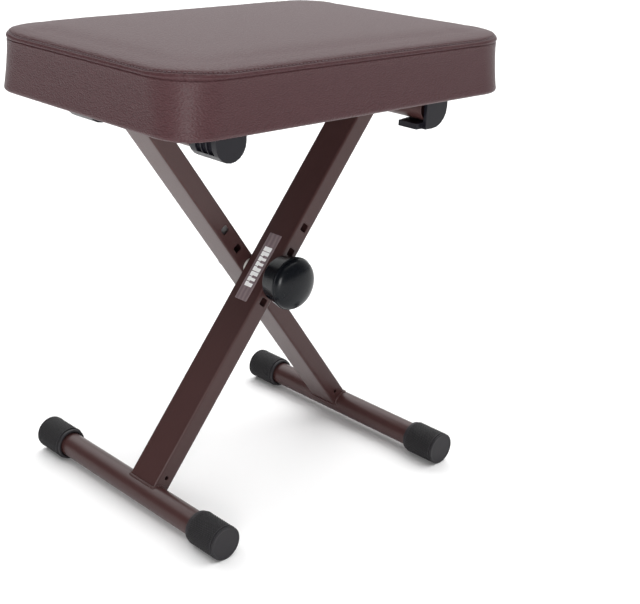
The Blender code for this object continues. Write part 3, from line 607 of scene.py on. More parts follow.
def seat_outline(inset, radius, detail=1.0):
    """Plan outlines for arrays of insets and corner radii, as a (rows, columns, 2) array.

    A corner is a superellipse: radius times cosine and sine, each to the power 2/n. Straight sides
    run evenly from one corner to the next.
    """
    inset, radius = np.atleast_1d(inset)[:, None, None], np.atleast_1d(radius)[:, None, None]
    turn = np.linspace(0, math.pi / 2, max(round(CORNER_COLUMNS * detail), 4))
    bow = np.stack((np.cos(turn), np.sin(turn)), axis=1).clip(0) ** (2 / CORNER_POWER)
    signs = np.array([(1, 1), (-1, 1), (-1, -1), (1, -1)])
    pieces = []
    for quarter in range(4):
        ordered = bow if quarter % 2 == 0 else bow[::-1]
        middle = SEAT_HALF - inset - radius
        corner = signs[quarter] * (middle + radius * ordered)
        middle_next = signs[(quarter + 1) % 4] * (middle + radius * (bow if quarter % 2 else bow[::-1])[:1])
        count = max(round((LONG_COLUMNS if quarter % 2 == 0 else SHORT_COLUMNS) * detail), 4)
        share = (np.arange(1, count) / count)[None, :, None]
        pieces += [corner, corner[:, -1:] * (1 - share) + middle_next * share]
    return np.concatenate(pieces, axis=1)


def corner_radius(seat, height):
    """Plan corner radius at each height: it grows evenly from the seat's bottom to its seam."""
    share = np.clip((height - SEAT_BOTTOM) / (SEAM - SEAT_BOTTOM), 0, 1.2)
    return seat.bottom_corner + (seat.top_corner - seat.bottom_corner) * share


def quarter_roll(radius, start, end, steps):
    """Inset and height round a quarter roll, from its angle start to end above the horizontal."""
    angle = np.linspace(start, end, steps)
    return np.stack((radius - radius * np.cos(angle), radius * np.sin(angle)), axis=1)


def side_line(seat, fine=True):
    """(inset, height) of the cover's outer face, from its lip under the board to the top's edge.

    A quarter roll, a side that pulls in like 4t(1-t), and the edge roll x^n + y^n = 1 with n of
    EDGE_POWER. The seam and the stitch line then press in along the line's normal like
    exp(-(distance/width)^2).
    """
    dense = 2.6 if fine else 1.0
    edge = SEAT_TOP - seat.crown - seat.stuffing
    roll = quarter_roll(seat.bottom_roll, -math.pi / 2, 0, round(5 * dense))
    roll[:, 1] += SEAT_BOTTOM + seat.bottom_roll
    t = np.linspace(0, 1, round(8 * dense))[1:-1]
    low, high = SEAT_BOTTOM + seat.bottom_roll, edge - seat.edge_drop
    spread = t + 0.18 * np.sin(math.pi * t) * t  # rows gather towards the seam
    side = np.stack((SIDE_PULL * 4 * t * (1 - t), low + (high - low) * spread), axis=1)
    turn = np.linspace(0, math.pi / 2, round(20 * dense) + 1)[1:]
    inset = seat.edge_roll * (1 - np.cos(turn) ** (2 / EDGE_POWER))
    upper = np.stack((inset, high + seat.edge_drop * np.sin(turn) ** (2 / EDGE_POWER)), axis=1)
    lip = np.array([(seat.turn_under, SEAT_BOTTOM), (seat.turn_under * 0.6, SEAT_BOTTOM)])
    line = np.concatenate((lip, roll, side, upper))
    if not fine:
        return line
    tight = np.linspace(SEAM - 4 * SEAM_WIDTH, SEAM + seat.stitch_rise + 4 * STITCH_WIDTH, 56)
    height = np.unique(np.concatenate((line[len(lip) + len(roll) :, 1], tight)))
    outer = line[len(lip) + len(roll) - 1 :]
    inset = np.interp(height, outer[:, 1], outer[:, 0])
    upper_part = np.stack((inset, height), axis=1)
    rise = np.clip((height - high) / seat.edge_drop, 0, 1)
    exact = seat.edge_roll * (1 - (1 - rise**EDGE_POWER) ** (1 / EDGE_POWER))
    upper_part[:, 0] = np.where(height > high, exact, upper_part[:, 0])
    line = np.concatenate((lip, roll, upper_part))
    run = np.gradient(line, axis=0)
    normal = np.stack((run[:, 1], -run[:, 0]), axis=1) / np.linalg.norm(run, axis=1, keepdims=True)
    up = line[:, 1] - SEAM
    press = SEAM_DEPTH * np.exp(-((up / SEAM_WIDTH) ** 2))
    press += STITCH_DEPTH * np.exp(-(((up - seat.stitch_rise) / STITCH_WIDTH) ** 2))
    band = np.clip(up / seat.stitch_rise, 0, 1)
    press -= BAND_BULGE * 4 * band * (1 - band)
    return line + normal * press[:, None]


def corner_lift(seat, points):
    """How far the cover's gathers lift its stitch line round the corners.

    It is 4t(1-t) between the seam and the top's edge, times the product of how far a point lies into
    the corner along X and along Y.
    """
    into = (np.abs(points[..., :2]) - (SEAT_HALF - seat.top_corner)) / seat.top_corner
    corner = np.clip(2 * np.prod(np.clip(into, 0, 1), axis=-1), 0, 1)
    edge = SEAT_TOP - seat.crown - seat.stuffing
    t = np.clip((points[..., 2] - SEAM) / (edge - SEAM), 0, 1)
    return seat.corner_lift * corner * 4 * t * (1 - t)


def top_height(seat, plan):
    """Height of the cut top panel: a crown of (1-|x|^2.5)(1-|y|^2.5) over its edge."""
    share = np.abs(plan) / (SEAT_HALF - seat.edge_roll)
    crown = np.prod(1 - np.minimum(share, 1) ** 2.5, axis=-1)
    return SEAT_TOP - seat.crown - seat.stuffing + seat.crown * crown


def seat_surfaces(seat, line, top_rows, detail):
    """The cover's outer face: outlines up its side line, and the last one shrunk over the top."""
    plan = seat_outline(line[:, 0], corner_radius(seat, line[:, 1]) - line[:, 0].clip(0), detail)
    height = np.broadcast_to(line[:, 1, None, None], (*plan.shape[:2], 1))
    side = np.concatenate((plan, height), axis=-1)
    side[..., 2] += corner_lift(seat, side)
    shrink = np.linspace(1, 0, top_rows)[1:, None, None]
    inner = plan[-1] * shrink
    top = np.concatenate((inner, top_height(seat, inner)[..., None]), axis=-1)
    return side, top


def swollen(seat):
    """Start and movement of the seat's skin when its foam pushes it out, by cloth simulation.

    The start is a coarse seat, held from the seam down and remeshed into 6 mm voxels, and the
    pressure inside it swells the top. The movement is capped like cap * tanh(move / cap).
    """
    side, top = seat_surfaces(seat, side_line(seat, fine=False), 14, 0.35)
    floor = side[:1] * np.array((0, 0, 1))
    start = bpy.data.objects.new("skin", make_mesh("skin", grid(np.concatenate((floor, side, top)))))
    scene = bpy.context.scene
    scene.collection.objects.link(start)
    remesh = start.modifiers.new("voxels", "REMESH")
    remesh.mode = "VOXEL"
    remesh.voxel_size = 6 * MM
    bpy.context.view_layer.update()
    graph = bpy.context.evaluated_depsgraph_get()
    start_mesh = bpy.data.meshes.new_from_object(start.evaluated_get(graph))
    skin = bpy.data.objects.new("skin_cloth", start_mesh)
    scene.collection.objects.link(skin)
    rest = np.zeros(len(start_mesh.vertices) * 3)
    start_mesh.vertices.foreach_get("co", rest)
    rest = rest.reshape(-1, 3)
    held = skin.vertex_groups.new(name="held")
    held.add(np.flatnonzero(rest[:, 2] < SEAM + 2 * MM).tolist(), 1, "REPLACE")
    cloth = skin.modifiers.new("skin", "CLOTH")
    cloth.settings.quality = 6
    cloth.settings.mass = 0.2
    cloth.settings.use_pressure = True
    cloth.settings.uniform_pressure_force = 4
    cloth.settings.vertex_group_mass = "held"
    cloth.settings.effector_weights.gravity = 0
    cloth.point_cache.frame_start = 1
    cloth.point_cache.frame_end = 20
    for number in range(1, 21):
        scene.frame_set(number)
    graph = bpy.context.evaluated_depsgraph_get()
    swelled = skin.evaluated_get(graph).to_mesh()
    end = np.zeros(len(swelled.vertices) * 3)
    swelled.vertices.foreach_get("co", end)
    skin.evaluated_get(graph).to_mesh_clear()
    move = end.reshape(-1, 3) - rest
    scene.frame_set(1)
    bpy.data.objects.remove(skin, do_unlink=True)
    bpy.data.objects.remove(start, do_unlink=True)
    size = np.maximum(np.linalg.norm(move, axis=1, keepdims=True), 1e-9)
    return rest, move / size * seat.stuffing * np.tanh(size / seat.stuffing)


def carried(points, rest, move, reach=9 * MM):
    """Movement at other points: the mean of the skin's, weighted by exp(-(distance/reach)^2)."""
    result = np.zeros_like(points)
    chunk = 2000
    for first in range(0, len(points), chunk):
        part = points[first : first + chunk]
        square = ((part[:, None, :2] - rest[None, :, :2]) ** 2).sum(axis=2)
        square += (part[:, None, 2] - rest[None, :, 2]) ** 2
        weight = np.exp(-square / reach**2)
        result[first : first + chunk] = weight @ move / np.maximum(weight.sum(axis=1), 1e-12)[:, None]
    return result


def stuffed(seat, side, top):
    held_rows = int(np.argmax(side[:, 0, 2] > SEAM + seat.stitch_rise + 2 * MM))
    skin = np.concatenate((side[held_rows:], top))
    points = skin.reshape(-1, 3)
    rest, swell = swollen(seat)
    move = carried(points, rest[rest[:, 2] > SEAM], swell[rest[:, 2] > SEAM])
    ease = np.clip((points[:, 2] - skin[0, 0, 2]) / (6 * MM), 0, 1)[:, None]
    skin = (points + move * ease * ease * (3 - 2 * ease)).reshape(skin.shape)
    return np.concatenate((side[:held_rows], skin))


def pleated(seat, lip):
    """Small folds where the vinyl is gathered under the corners: a ripple of sin(phase) downwards."""
    plan = lip[..., :2]
    over = np.abs(plan) - (SEAT_HALF - seat.bottom_corner)
    corner = (over > 0).all(axis=-1)
    phase = np.arctan2(over[..., 1], over[..., 0]) * 22
    ripple = 0.5 * MM * (1 + np.sin(phase)) * corner
    inset = (SEAT_HALF - np.abs(plan)).min(axis=-1)
    lip[..., 2] -= ripple * np.clip((inset - 4 * MM) / (8 * MM), 0, 1)
    return lip


def cushion_part(seat):
    """The whole upholstery as one closed form: its outer face, the turned-under lip and the foam's bed."""
    line = side_line(seat)
    side, top = seat_surfaces(seat, line, TOP_ROWS, 1.0)
    outer = stuffed(seat, side, top)
    lip_rows = int(np.argmax(line[:, 0] < 3 * MM))
    outer[:lip_rows] = pleated(seat, outer[:lip_rows])
    deep = seat.vinyl_thickness
    inside = np.array(
        [
            (seat.turn_under, SEAT_BOTTOM + deep),
            (seat.bottom_roll, SEAT_BOTTOM + deep),
            (deep * 1.5, SEAT_BOTTOM + seat.bottom_roll * 0.6),
            (deep, SEAT_BOTTOM + seat.bottom_roll),
            (deep, BOARD_TOP + GAP),
        ]
    )
    bed_side = np.concatenate(
        (
            seat_outline(inside[:, 0], corner_radius(seat, inside[:, 1]) - inside[:, 0]),
            np.broadcast_to(inside[:, 1, None, None], (len(inside), outer.shape[1], 1)),
        ),
        axis=-1,
    )
    shrink = np.linspace(1, 0, 8)[1:, None, None]
    plan = bed_side[-1][None, :, :2] * shrink
    bed = np.concatenate((plan, np.full((*plan.shape[:2], 1), BOARD_TOP + GAP)), axis=-1)
    return grid(np.concatenate((bed[::-1], bed_side[::-1], outer)))


def seat_ring(seat, inset, height):
    """A closed path round the seat at one inset and height."""
    radius = corner_radius(seat, np.array([height])) - inset
    plan = seat_outline(np.array([inset]), radius)[0]
    return np.concatenate((plan, np.full((len(plan), 1), height)), axis=1)


def stitch_part(length, radius, sag):
    """One stitch along u: a thread whose middle stands up like 1-(2u/length)^4 and whose ends dive."""
    share = np.linspace(-1, 1, 9)
    path = np.stack((share * length / 2, np.zeros(9), radius * 0.55 - sag * share**4), axis=1)
    taper = radius * np.sqrt(np.clip(1 - share**8, 0, 1))
    return swept(path, np.tile(Z, (9, 1)), taper, sides=6, closed=False)


def stitches(seat):
    """The top stitching: stitches in the stitch line's groove, one pitch apart."""
    line = side_line(seat)
    outer = line[int(np.argmax(line[:, 1] > SEAM)) :]
    height = SEAM + seat.stitch_rise
    inset = float(np.interp(height, outer[:, 1], outer[:, 0]))
    ring = seat_ring(seat, inset, height)
    ring[:, 2] += corner_lift(seat, ring)
    places, tangent = even_steps(ring, seat.stitch_pitch)
    run = np.gradient(outer, axis=0)
    slope = run[int(np.argmin(np.abs(outer[:, 1] - height - 1.5 * MM)))]
    slope = slope / np.linalg.norm(slope)
    outward = np.cross(tangent, Z)
    normal = outward * slope[1] + Z * slope[0]
    frames = np.stack((tangent, np.cross(normal, tangent), normal), axis=1)
    single = stitch_part(seat.stitch_pitch * 0.78, 0.36 * MM, 0.5 * MM)
    return repeated(single, places, frames)


def cloth_part(seat):
    """The dust cloth: stretched over the lip's edge, with a faint slack ripple between its staples."""
    inset = np.concatenate((np.linspace(15, 22.5, 6), np.linspace(24, 30, 7), [40, 60, 90, 120])) * MM
    lap, bed = SEAT_BOTTOM - 0.45 * MM, SEAT_BOTTOM + 0.2 * MM
    share = np.clip((inset - 22.5 * MM) / (6 * MM), 0, 1)
    height = lap + (bed - lap) * share * share * (3 - 2 * share)
    plan = seat_outline(inset, np.maximum(seat.bottom_corner - inset, 6 * MM))
    sheet = np.concatenate((plan, np.broadcast_to(height[:, None, None], (*plan.shape[:2], 1))), axis=-1)
    around = np.arange(plan.shape[1]) / plan.shape[1] * 2 * math.pi
    near_edge = np.exp(-(((inset - 17 * MM) / (5 * MM)) ** 2))
    sheet[..., 2] -= 0.12 * MM * near_edge[:, None] * (1 + np.sin(around * 41))
    middle = sheet[-1:] * np.array((0, 0, 1))
    return grid(np.concatenate((sheet, middle)))


def staple_part(width, wire):
    """One staple's crown along u: a flat wire with rounded shoulders that dive into the board."""
    path = rounded_line([(-width / 2, -1.6 * MM, 0), (-width / 2, 0.3 * MM, 0.5 * MM),
                         (width / 2, 0.3 * MM, 0.5 * MM), (width / 2, -1.6 * MM, 0)], 4)
    path = np.stack((path[:, 0], np.zeros(len(path)), path[:, 1]), axis=1)
    tapered = np.full(len(path), wire / 2)
    tapered[[0, -1]] = 0
    return swept(path, np.tile(-Y, (len(path), 1)), tapered, sides=6, closed=False)


# Brackets and screws --------------------------------------------------------------------------


def softened_copy(name, node_name, material, edge):
    """A welded copy of a bracket's own mesh, its coplanar triangles joined and its edges bevelled."""
    mesh = frame["nodes"][node_name].data.copy()
    bm = bmesh.new()
    bm.from_mesh(mesh)
    bmesh.ops.remove_doubles(bm, verts=bm.verts, dist=0.01 * MM)
    bmesh.ops.dissolve_limit(bm, angle_limit=math.radians(1), verts=bm.verts, edges=bm.edges)
    bm.to_mesh(mesh)
    bm.free()
    obj = bpy.data.objects.new(name, mesh)
    bpy.context.scene.collection.objects.link(obj)
    place_piece(obj, material, "seat", [node_name], sharp=30)
    bevel = obj.modifiers.new("moulded edge", "BEVEL")
    bevel.width = edge
    bevel.segments = 2
    bevel.limit_method = "ANGLE"
    bevel.angle_limit = math.radians(30)
    bevel.use_clamp_overlap = True
    bevel.harden_normals = True
    return obj


def screw_part(head, shank, depth, length):
    """A pan-head screw hanging from its seat: a domed head with a cross recess, and its shank above.

    The recess presses in where a point lies near either arm of the cross.
    """
    ring = np.linspace(0, 1, 12)[:, None]
    angle = np.linspace(0, 2 * math.pi, 40, endpoint=False)[None]
    across = np.maximum(np.abs(np.cos(angle)), np.abs(np.sin(angle))) * ring * head
    beside = np.minimum(np.abs(np.cos(angle)), np.abs(np.sin(angle))) * ring * head
    arm = np.clip((0.5 * MM - beside) / (0.25 * MM), 0, 1)
    arm = arm * np.clip((0.62 * head - across) / (0.3 * MM), 0, 1)
    low = -depth * (1 - 0.55 * ring**4) + 1.1 * MM * arm
    dome = np.stack((ring * head * np.cos(angle), ring * head * np.sin(angle), low + 0 * angle), axis=-1)
    line = np.array([(head, 0), (shank, 0), (shank, length), (0, length)])
    turn = np.stack((np.cos(angle[0]), np.sin(angle[0])), axis=1)
    neck = np.concatenate(
        (line[:, None, :1] * turn, np.broadcast_to(line[:, None, 1:], (4, len(turn), 1))), axis=-1
    )
    return grid(np.concatenate((dome, neck)))


# Leg frames -----------------------------------------------------------------------------------

FLAT_STEPS = 8  # grid steps across each flat face of a leg tube
CORNER_STEPS = 6  # round each of its corners
HOLE_RINGS = 5  # grid rings from a hole to the square patch that it sits in
HEIGHT_HOLES = (-1, 0, 1, 2)  # places of the height holes, counted up the leg from the pivot


class Leg:
    """One leg's place: its direction, its outward normal, its middle plane and its two ends."""

    def __init__(self, name, side):
        self.name = name
        bar, foot = MIDDLE[f"{name}_crossbar"], MIDDLE[f"{name}_foot_tube"]
        self.bar, self.foot = bar * (1, 0, 1), foot * (1, 0, 1)
        self.length = np.linalg.norm(self.bar - self.foot)
        self.along = (self.bar - self.foot) / self.length
        self.outward = np.array((-self.along[2], 0, self.along[0])) * side
        self.middle_y = MIDDLE[f"{name}_leg"][1]
        self.half_wide = (BOX[f"{name}_leg"][1] - BOX[f"{name}_leg"][0])[1] / 2
        self.pivot_rise = (PIVOT - self.foot) @ self.along

    def place(self, rise, off, across):
        """The point this far up the leg, off its middle and across it."""
        rise, off, across = (np.asarray(v)[..., None] for v in (rise, off, across))
        return self.foot + rise * self.along + off * self.outward + (self.middle_y + across) * Y


def leg_perimeter(half_thick, half_wide, radius):
    """(off, across) points round a leg tube: flats in even steps, corners as quarter circles."""
    flat_off = np.linspace(-1, 1, FLAT_STEPS + 1) * (half_thick - radius)
    flat_across = np.linspace(-1, 1, FLAT_STEPS + 1) * (half_wide - radius)
    angle = np.linspace(-math.pi / 2, 0, CORNER_STEPS + 1)[1:-1]
    bow = radius * np.stack((np.cos(angle), np.sin(angle)), axis=1)
    inner = np.array((half_thick - radius, half_wide - radius))
    front = np.stack((flat_off, np.full(FLAT_STEPS + 1, -half_wide)), axis=1)
    first = inner * (1, -1) + bow
    upper = np.stack((np.full(FLAT_STEPS + 1, half_thick), flat_across), axis=1)
    second = inner + bow[::-1] * (1, -1)
    half = np.concatenate((front, first, upper, second))
    return np.concatenate((half, -half))


def leg_rows(leg, steel):
    """Rises of the grid rows up a leg, and the first row of each hole's square patch."""
    half = steel.leg_thick / 2 - steel.leg_corner
    holes = [steel.vent_rise] + [leg.pivot_rise + k * steel.hole_pitch for k in HEIGHT_HOLES]
    rows, starts = [holes[0] - half], []
    for hole in holes:
        gap = hole - half - rows[-1]
        if gap > MM / 100:
            count = max(round(gap / (5 * MM)), 1)
            rows += list(rows[-1] + gap * np.arange(1, count + 1) / count)
        starts.append(len(rows) - 1)
        rows += list(hole + np.linspace(-1, 1, FLAT_STEPS + 1)[1:] * half)
    return np.array(rows), holes, starts


def leg_skin(leg, steel):
    """A rectangular tube's outer skin, coped at both ends to round tubes, with pierced holes.

    Rows follow the perimeter. The end rows bend like sqrt(R^2 - off^2), so that they meet a tube of
    radius R. Each hole is a ring |x|^n + |y|^n = radius^n that blends into a square patch of the side
    face, with n = 2 for the round drain hole and n = 6 for the rounded square height holes.
    """
    half_thick = steel.leg_thick / 2
    outline = leg_perimeter(half_thick, leg.half_wide, steel.leg_corner)
    rows, holes, starts = leg_rows(leg, steel)
    off = outline[:, 0]
    foot_end = np.sqrt((FOOT_RADIUS + GAP) ** 2 - off**2)
    bar_end = leg.length - np.sqrt((BAR_RADIUS + GAP) ** 2 - off**2)
    ease = np.linspace(0, 1, 4)[:-1, None]
    low = foot_end * (1 - ease) + rows[0] * ease
    ease = np.linspace(0, 1, 22)[1:, None]
    high = rows[-1] * (1 - ease) + bar_end * ease
    rise = np.concatenate((low, np.broadcast_to(rows[:, None], (len(rows), len(off))), high))
    points = leg.place(rise, off, outline[:, 1])
    keep = np.ones((len(rise) - 1, len(off)), bool)
    half_columns = len(off) // 2
    for start in starts:
        first = len(low) + start
        for column in (0, half_columns):
            keep[first : first + FLAT_STEPS, column : column + FLAT_STEPS] = False
    skin, quads = grid(points)
    parts = [(skin, quads[keep.ravel()])]
    step = np.linspace(-1, 1, FLAT_STEPS + 1)
    edge = np.ones(FLAT_STEPS)
    square = np.concatenate(
        (
            np.stack((step[:-1], -edge), axis=1),
            np.stack((edge, step[:-1]), axis=1),
            np.stack((-step[:-1], edge), axis=1),
            np.stack((-edge, -step[:-1]), axis=1),
        )
    ) * (half_thick - steel.leg_corner)
    blend = np.linspace(0, 1, HOLE_RINGS)[:, None, None]
    for hole in holes:
        radius, power = (steel.vent_radius, 2) if hole == holes[0] else (steel.hole_half, 6)
        ring = square * radius / np.sum(np.abs(square) ** power, axis=1, keepdims=True) ** (1 / power)
        patch = ring * (1 - blend) + square * blend
        for face in (-1, 1):
            across = np.full(patch.shape[:2], face * leg.half_wide)
            parts.append(grid(leg.place(hole + patch[..., 1], patch[..., 0], across)))
    return joined(parts)


def weld_part(leg, steel, radius, at_foot):
    """A weld bead round a leg's end: a round section with ripples, carried along the joint line."""
    outline = leg_perimeter(steel.leg_thick / 2, leg.half_wide, steel.leg_corner)
    reach = np.sqrt(radius**2 - np.clip(np.abs(outline[:, 0]), 0, radius - MM) ** 2)
    rise = reach if at_foot else leg.length - reach
    places, _ = even_steps(leg.place(rise, outline[:, 0], outline[:, 1]), 0.7 * MM)
    middle = leg.place(leg.length * (0 if at_foot else 1), 0.0, 0.0)
    away = places - (middle + ((places - middle) @ Y)[:, None] * Y)
    outward = away + (places - middle) * Y
    run = np.arange(len(places)) * 0.7 * MM
    wobble = 1 + 0.16 * np.sin(run * 2 * math.pi / (2.4 * MM)) + 0.08 * np.sin(run * 431)
    return swept(places, outward, steel.weld * wobble, sides=10)


def cap_part(name, steel, end):
    """A foot cap: a smooth collar at its mouth, a diamond-knurled body, a groove and a flat end disc.

    The knurl presses in like the larger of two crossed families of grooves, cosines of the turn
    plus and minus the height, and fades out towards the body's ends.
    """
    radius, length = CAP_HALF[2], CAP_HALF[1] * 2
    socket = FOOT_RADIUS + GAP
    body, groove = 4.4 * MM, length - 3.4 * MM
    columns = 312
    around = np.linspace(0, 2 * math.pi, columns, endpoint=False)
    ridges = round(2 * math.pi * radius / steel.knurl_pitch)
    height = np.linspace(body, groove, 88)[:, None]
    lean = height * ridges / radius
    crossed = np.maximum(np.cos(around * ridges + lean), np.cos(around * ridges - lean))
    fade = np.clip(np.minimum(height - body, groove - height) / (0.8 * MM), 0, 1)
    knurled = radius - steel.knurl_depth * np.clip((crossed + 0.25) / 1.25, 0, 1) * fade
    inner = rounded_line(
        [
            (0, length - 4 * MM, 0),
            (socket, length - 4 * MM, 0.6 * MM),
            (socket, 2.4 * MM, 0.3 * MM),
            (socket + 0.9 * MM, 2 * MM, 0.3 * MM),
            (socket + 0.9 * MM, 0, 0.5 * MM),
            (radius - 1.0 * MM, 0, 0.9 * MM),
            (radius - 1.0 * MM, 3.3 * MM, 0.3 * MM),
            (radius - 1.7 * MM, 3.7 * MM, 0.3 * MM),
            (radius, body - 0.2 * MM, 0.4 * MM),
            (radius, body, 0),
        ]
    )
    outer = rounded_line(
        [
            (radius, groove, 0),
            (radius, groove + 0.4 * MM, 0.2 * MM),
            (radius - 1.3 * MM, groove + 0.7 * MM, 0.3 * MM),
            (radius - 1.3 * MM, groove + 1.3 * MM, 0.3 * MM),
            (radius - 0.2 * MM, groove + 1.7 * MM, 0.3 * MM),
            (radius - 0.2 * MM, length, 0.7 * MM),
            (radius - 2.2 * MM, length, 0.4 * MM),
            (radius - 2.9 * MM, length - 0.3 * MM, 0.3 * MM),
            (0, length - 0.3 * MM, 0),
        ]
    )
    plain = [np.broadcast_to(line[:, :1], (len(line), columns)) for line in (inner, outer)]
    radii = np.concatenate((plain[0], knurled, plain[1]))
    heights = np.concatenate((inner[:, 1:], height, outer[:, 1:]))
    start = MIDDLE[name] - end * Y * CAP_HALF[1]
    return turned((radii, heights), start, end * Y, columns)


def mark_relief(obj, name, depth):
    """Gives a cap its own relief attribute: 1 on the knurl's ridges and 0 in its grooves, where the rubber
    paints shade.
    """
    points = np.zeros(len(obj.data.vertices) * 3)
    obj.data.vertices.foreach_get("co", points)
    from_axis = points.reshape(-1, 3)[:, ::2] - MIDDLE[name][::2]
    sunk = (CAP_HALF[2] - np.linalg.norm(from_axis, axis=1)) / depth
    relief = np.where(sunk < 1.05, 1 - np.clip(sunk, 0, 1), 0.85)
    obj.data.attributes.new("relief", "FLOAT", "POINT").data.foreach_set("value", relief)


# Pivot ----------------------------------------------------------------------------------------


def knob_part(box):
    """The clamp knob: a swelling cone up to its rim, a fine step and a domed front, round its bore."""
    radius, depth = (box[1] - box[0])[2] / 2, (box[1] - box[0])[1]
    bore, back = 4.3 * MM, radius - 4.2 * MM
    step = depth - 11.4 * MM
    angle = np.linspace(0, math.pi / 2, 28)
    dome_radius = radius - 0.8 * MM
    dome = np.stack((dome_radius * np.cos(angle), step + (depth - step) * np.sin(angle)), axis=1)
    rear = rounded_line(
        [
            (0, 21 * MM, 0),
            (bore, 21 * MM, 0),
            (bore, 0, 0.4 * MM),
            (back, 0, 1.8 * MM),
            (back + 0.9 * MM, 4.5 * MM, 2.4 * MM),
            (radius - 0.9 * MM, 15.5 * MM, 3.5 * MM),
            (radius, step - 2.4 * MM, 0.9 * MM),
            (radius, step - 0.3 * MM, 0.6 * MM),
            (dome_radius, step - 0.2 * MM, 0.2 * MM),
            (dome_radius, step, 0),
        ]
    )
    middle = (box[0] + box[1]) / 2
    start = np.array((middle[0], box[1][1], middle[2]))
    return turned(np.concatenate((rear, dome[1:])), start, -Y, 128)


def bolt_part(box):
    """The pivot bolt: a domed head with a hexagonal socket, and its shank.

    The socket's radius at each turn is its half width over the cosine of the turn from a flat.
    """
    shank, head, rise = 4 * MM, 8.5 * MM, 4 * MM
    columns = 96
    around = np.linspace(0, 2 * math.pi, columns, endpoint=False)
    flat = np.mod(around, math.pi / 3) - math.pi / 6
    socket = 2.9 * MM / np.cos(flat)
    outer = rounded_line(
        [
            (0, -(box[1] - box[0])[1] + rise, 0),
            (shank, -(box[1] - box[0])[1] + rise, 0.6 * MM),
            (shank, 0, 0.2 * MM),
            (head, 0, 0.3 * MM),
            (head, 1.3 * MM, 0.5 * MM),
            (head - 3.4 * MM, rise, 2.4 * MM),
            (4.2 * MM, rise, 0),
        ]
    )
    rows = np.broadcast_to(outer[:, :1], (len(outer), columns))
    well = np.stack((socket + 0.3 * MM, socket, socket, socket * 0))
    radii = np.concatenate((rows, well))
    heights = np.concatenate((outer[:, 1], (rise, rise - 0.4 * MM, rise - 2.6 * MM, rise - 2.6 * MM)))
    seat_y = box[1][1] - rise
    return turned((radii, heights[:, None]), np.array((PIVOT[0], seat_y, PIVOT[2])), Y, columns)


def washer_part(name, inner):
    """A flat ring where the frame has it."""
    low, high = BOX[name]
    half = (high - low)[1] / 2
    return turned(tube_line(inner, (high - low)[2] / 2, -half, half, 0.25 * MM), MIDDLE[name], Y, 72)


def slab(width, length, thickness, corner, steps=5):
    """A flat plate with round corners in plan, as rings: bottom, softened top edge, and top."""
    angle = np.linspace(0, math.pi / 2, steps)
    bow = np.stack((np.cos(angle), np.sin(angle)), axis=1)
    half = np.array((width, length)) / 2 - corner
    soft = min(thickness, corner) * 0.4
    quarters = (((1, 1), bow), ((-1, 1), bow[::-1]), ((-1, -1), bow), ((1, -1), bow[::-1]))

    def ring(inset, height):
        plan = np.concatenate([np.array(sign) * (half + (corner - inset) * arc) for sign, arc in quarters])
        return np.concatenate((plan, np.full((len(plan), 1), height)), axis=1)

    low, high = (np.tile((0, 0, height), (4 * steps, 1)) for height in (0, thickness))
    return grid(np.stack([low, ring(0, 0), ring(0, thickness - soft), ring(soft, thickness), high]))


# Operators ------------------------------------------------------------------------------------


def shared(name, make, *arguments):
    """A material made once and found again by its own name."""
    found = bpy.data.materials.get(name)
    return found or make(*arguments)


def paint(context):
    """The frame's powder coat."""
    return shared("powder_coated_steel", powder_coat, context.scene.piano_bench.steel.paint)


def plating(context):
    """The fasteners' zinc plate."""
    return shared("zinc_plated_steel", zinc_plate, context.scene.piano_bench.pivot.zinc)


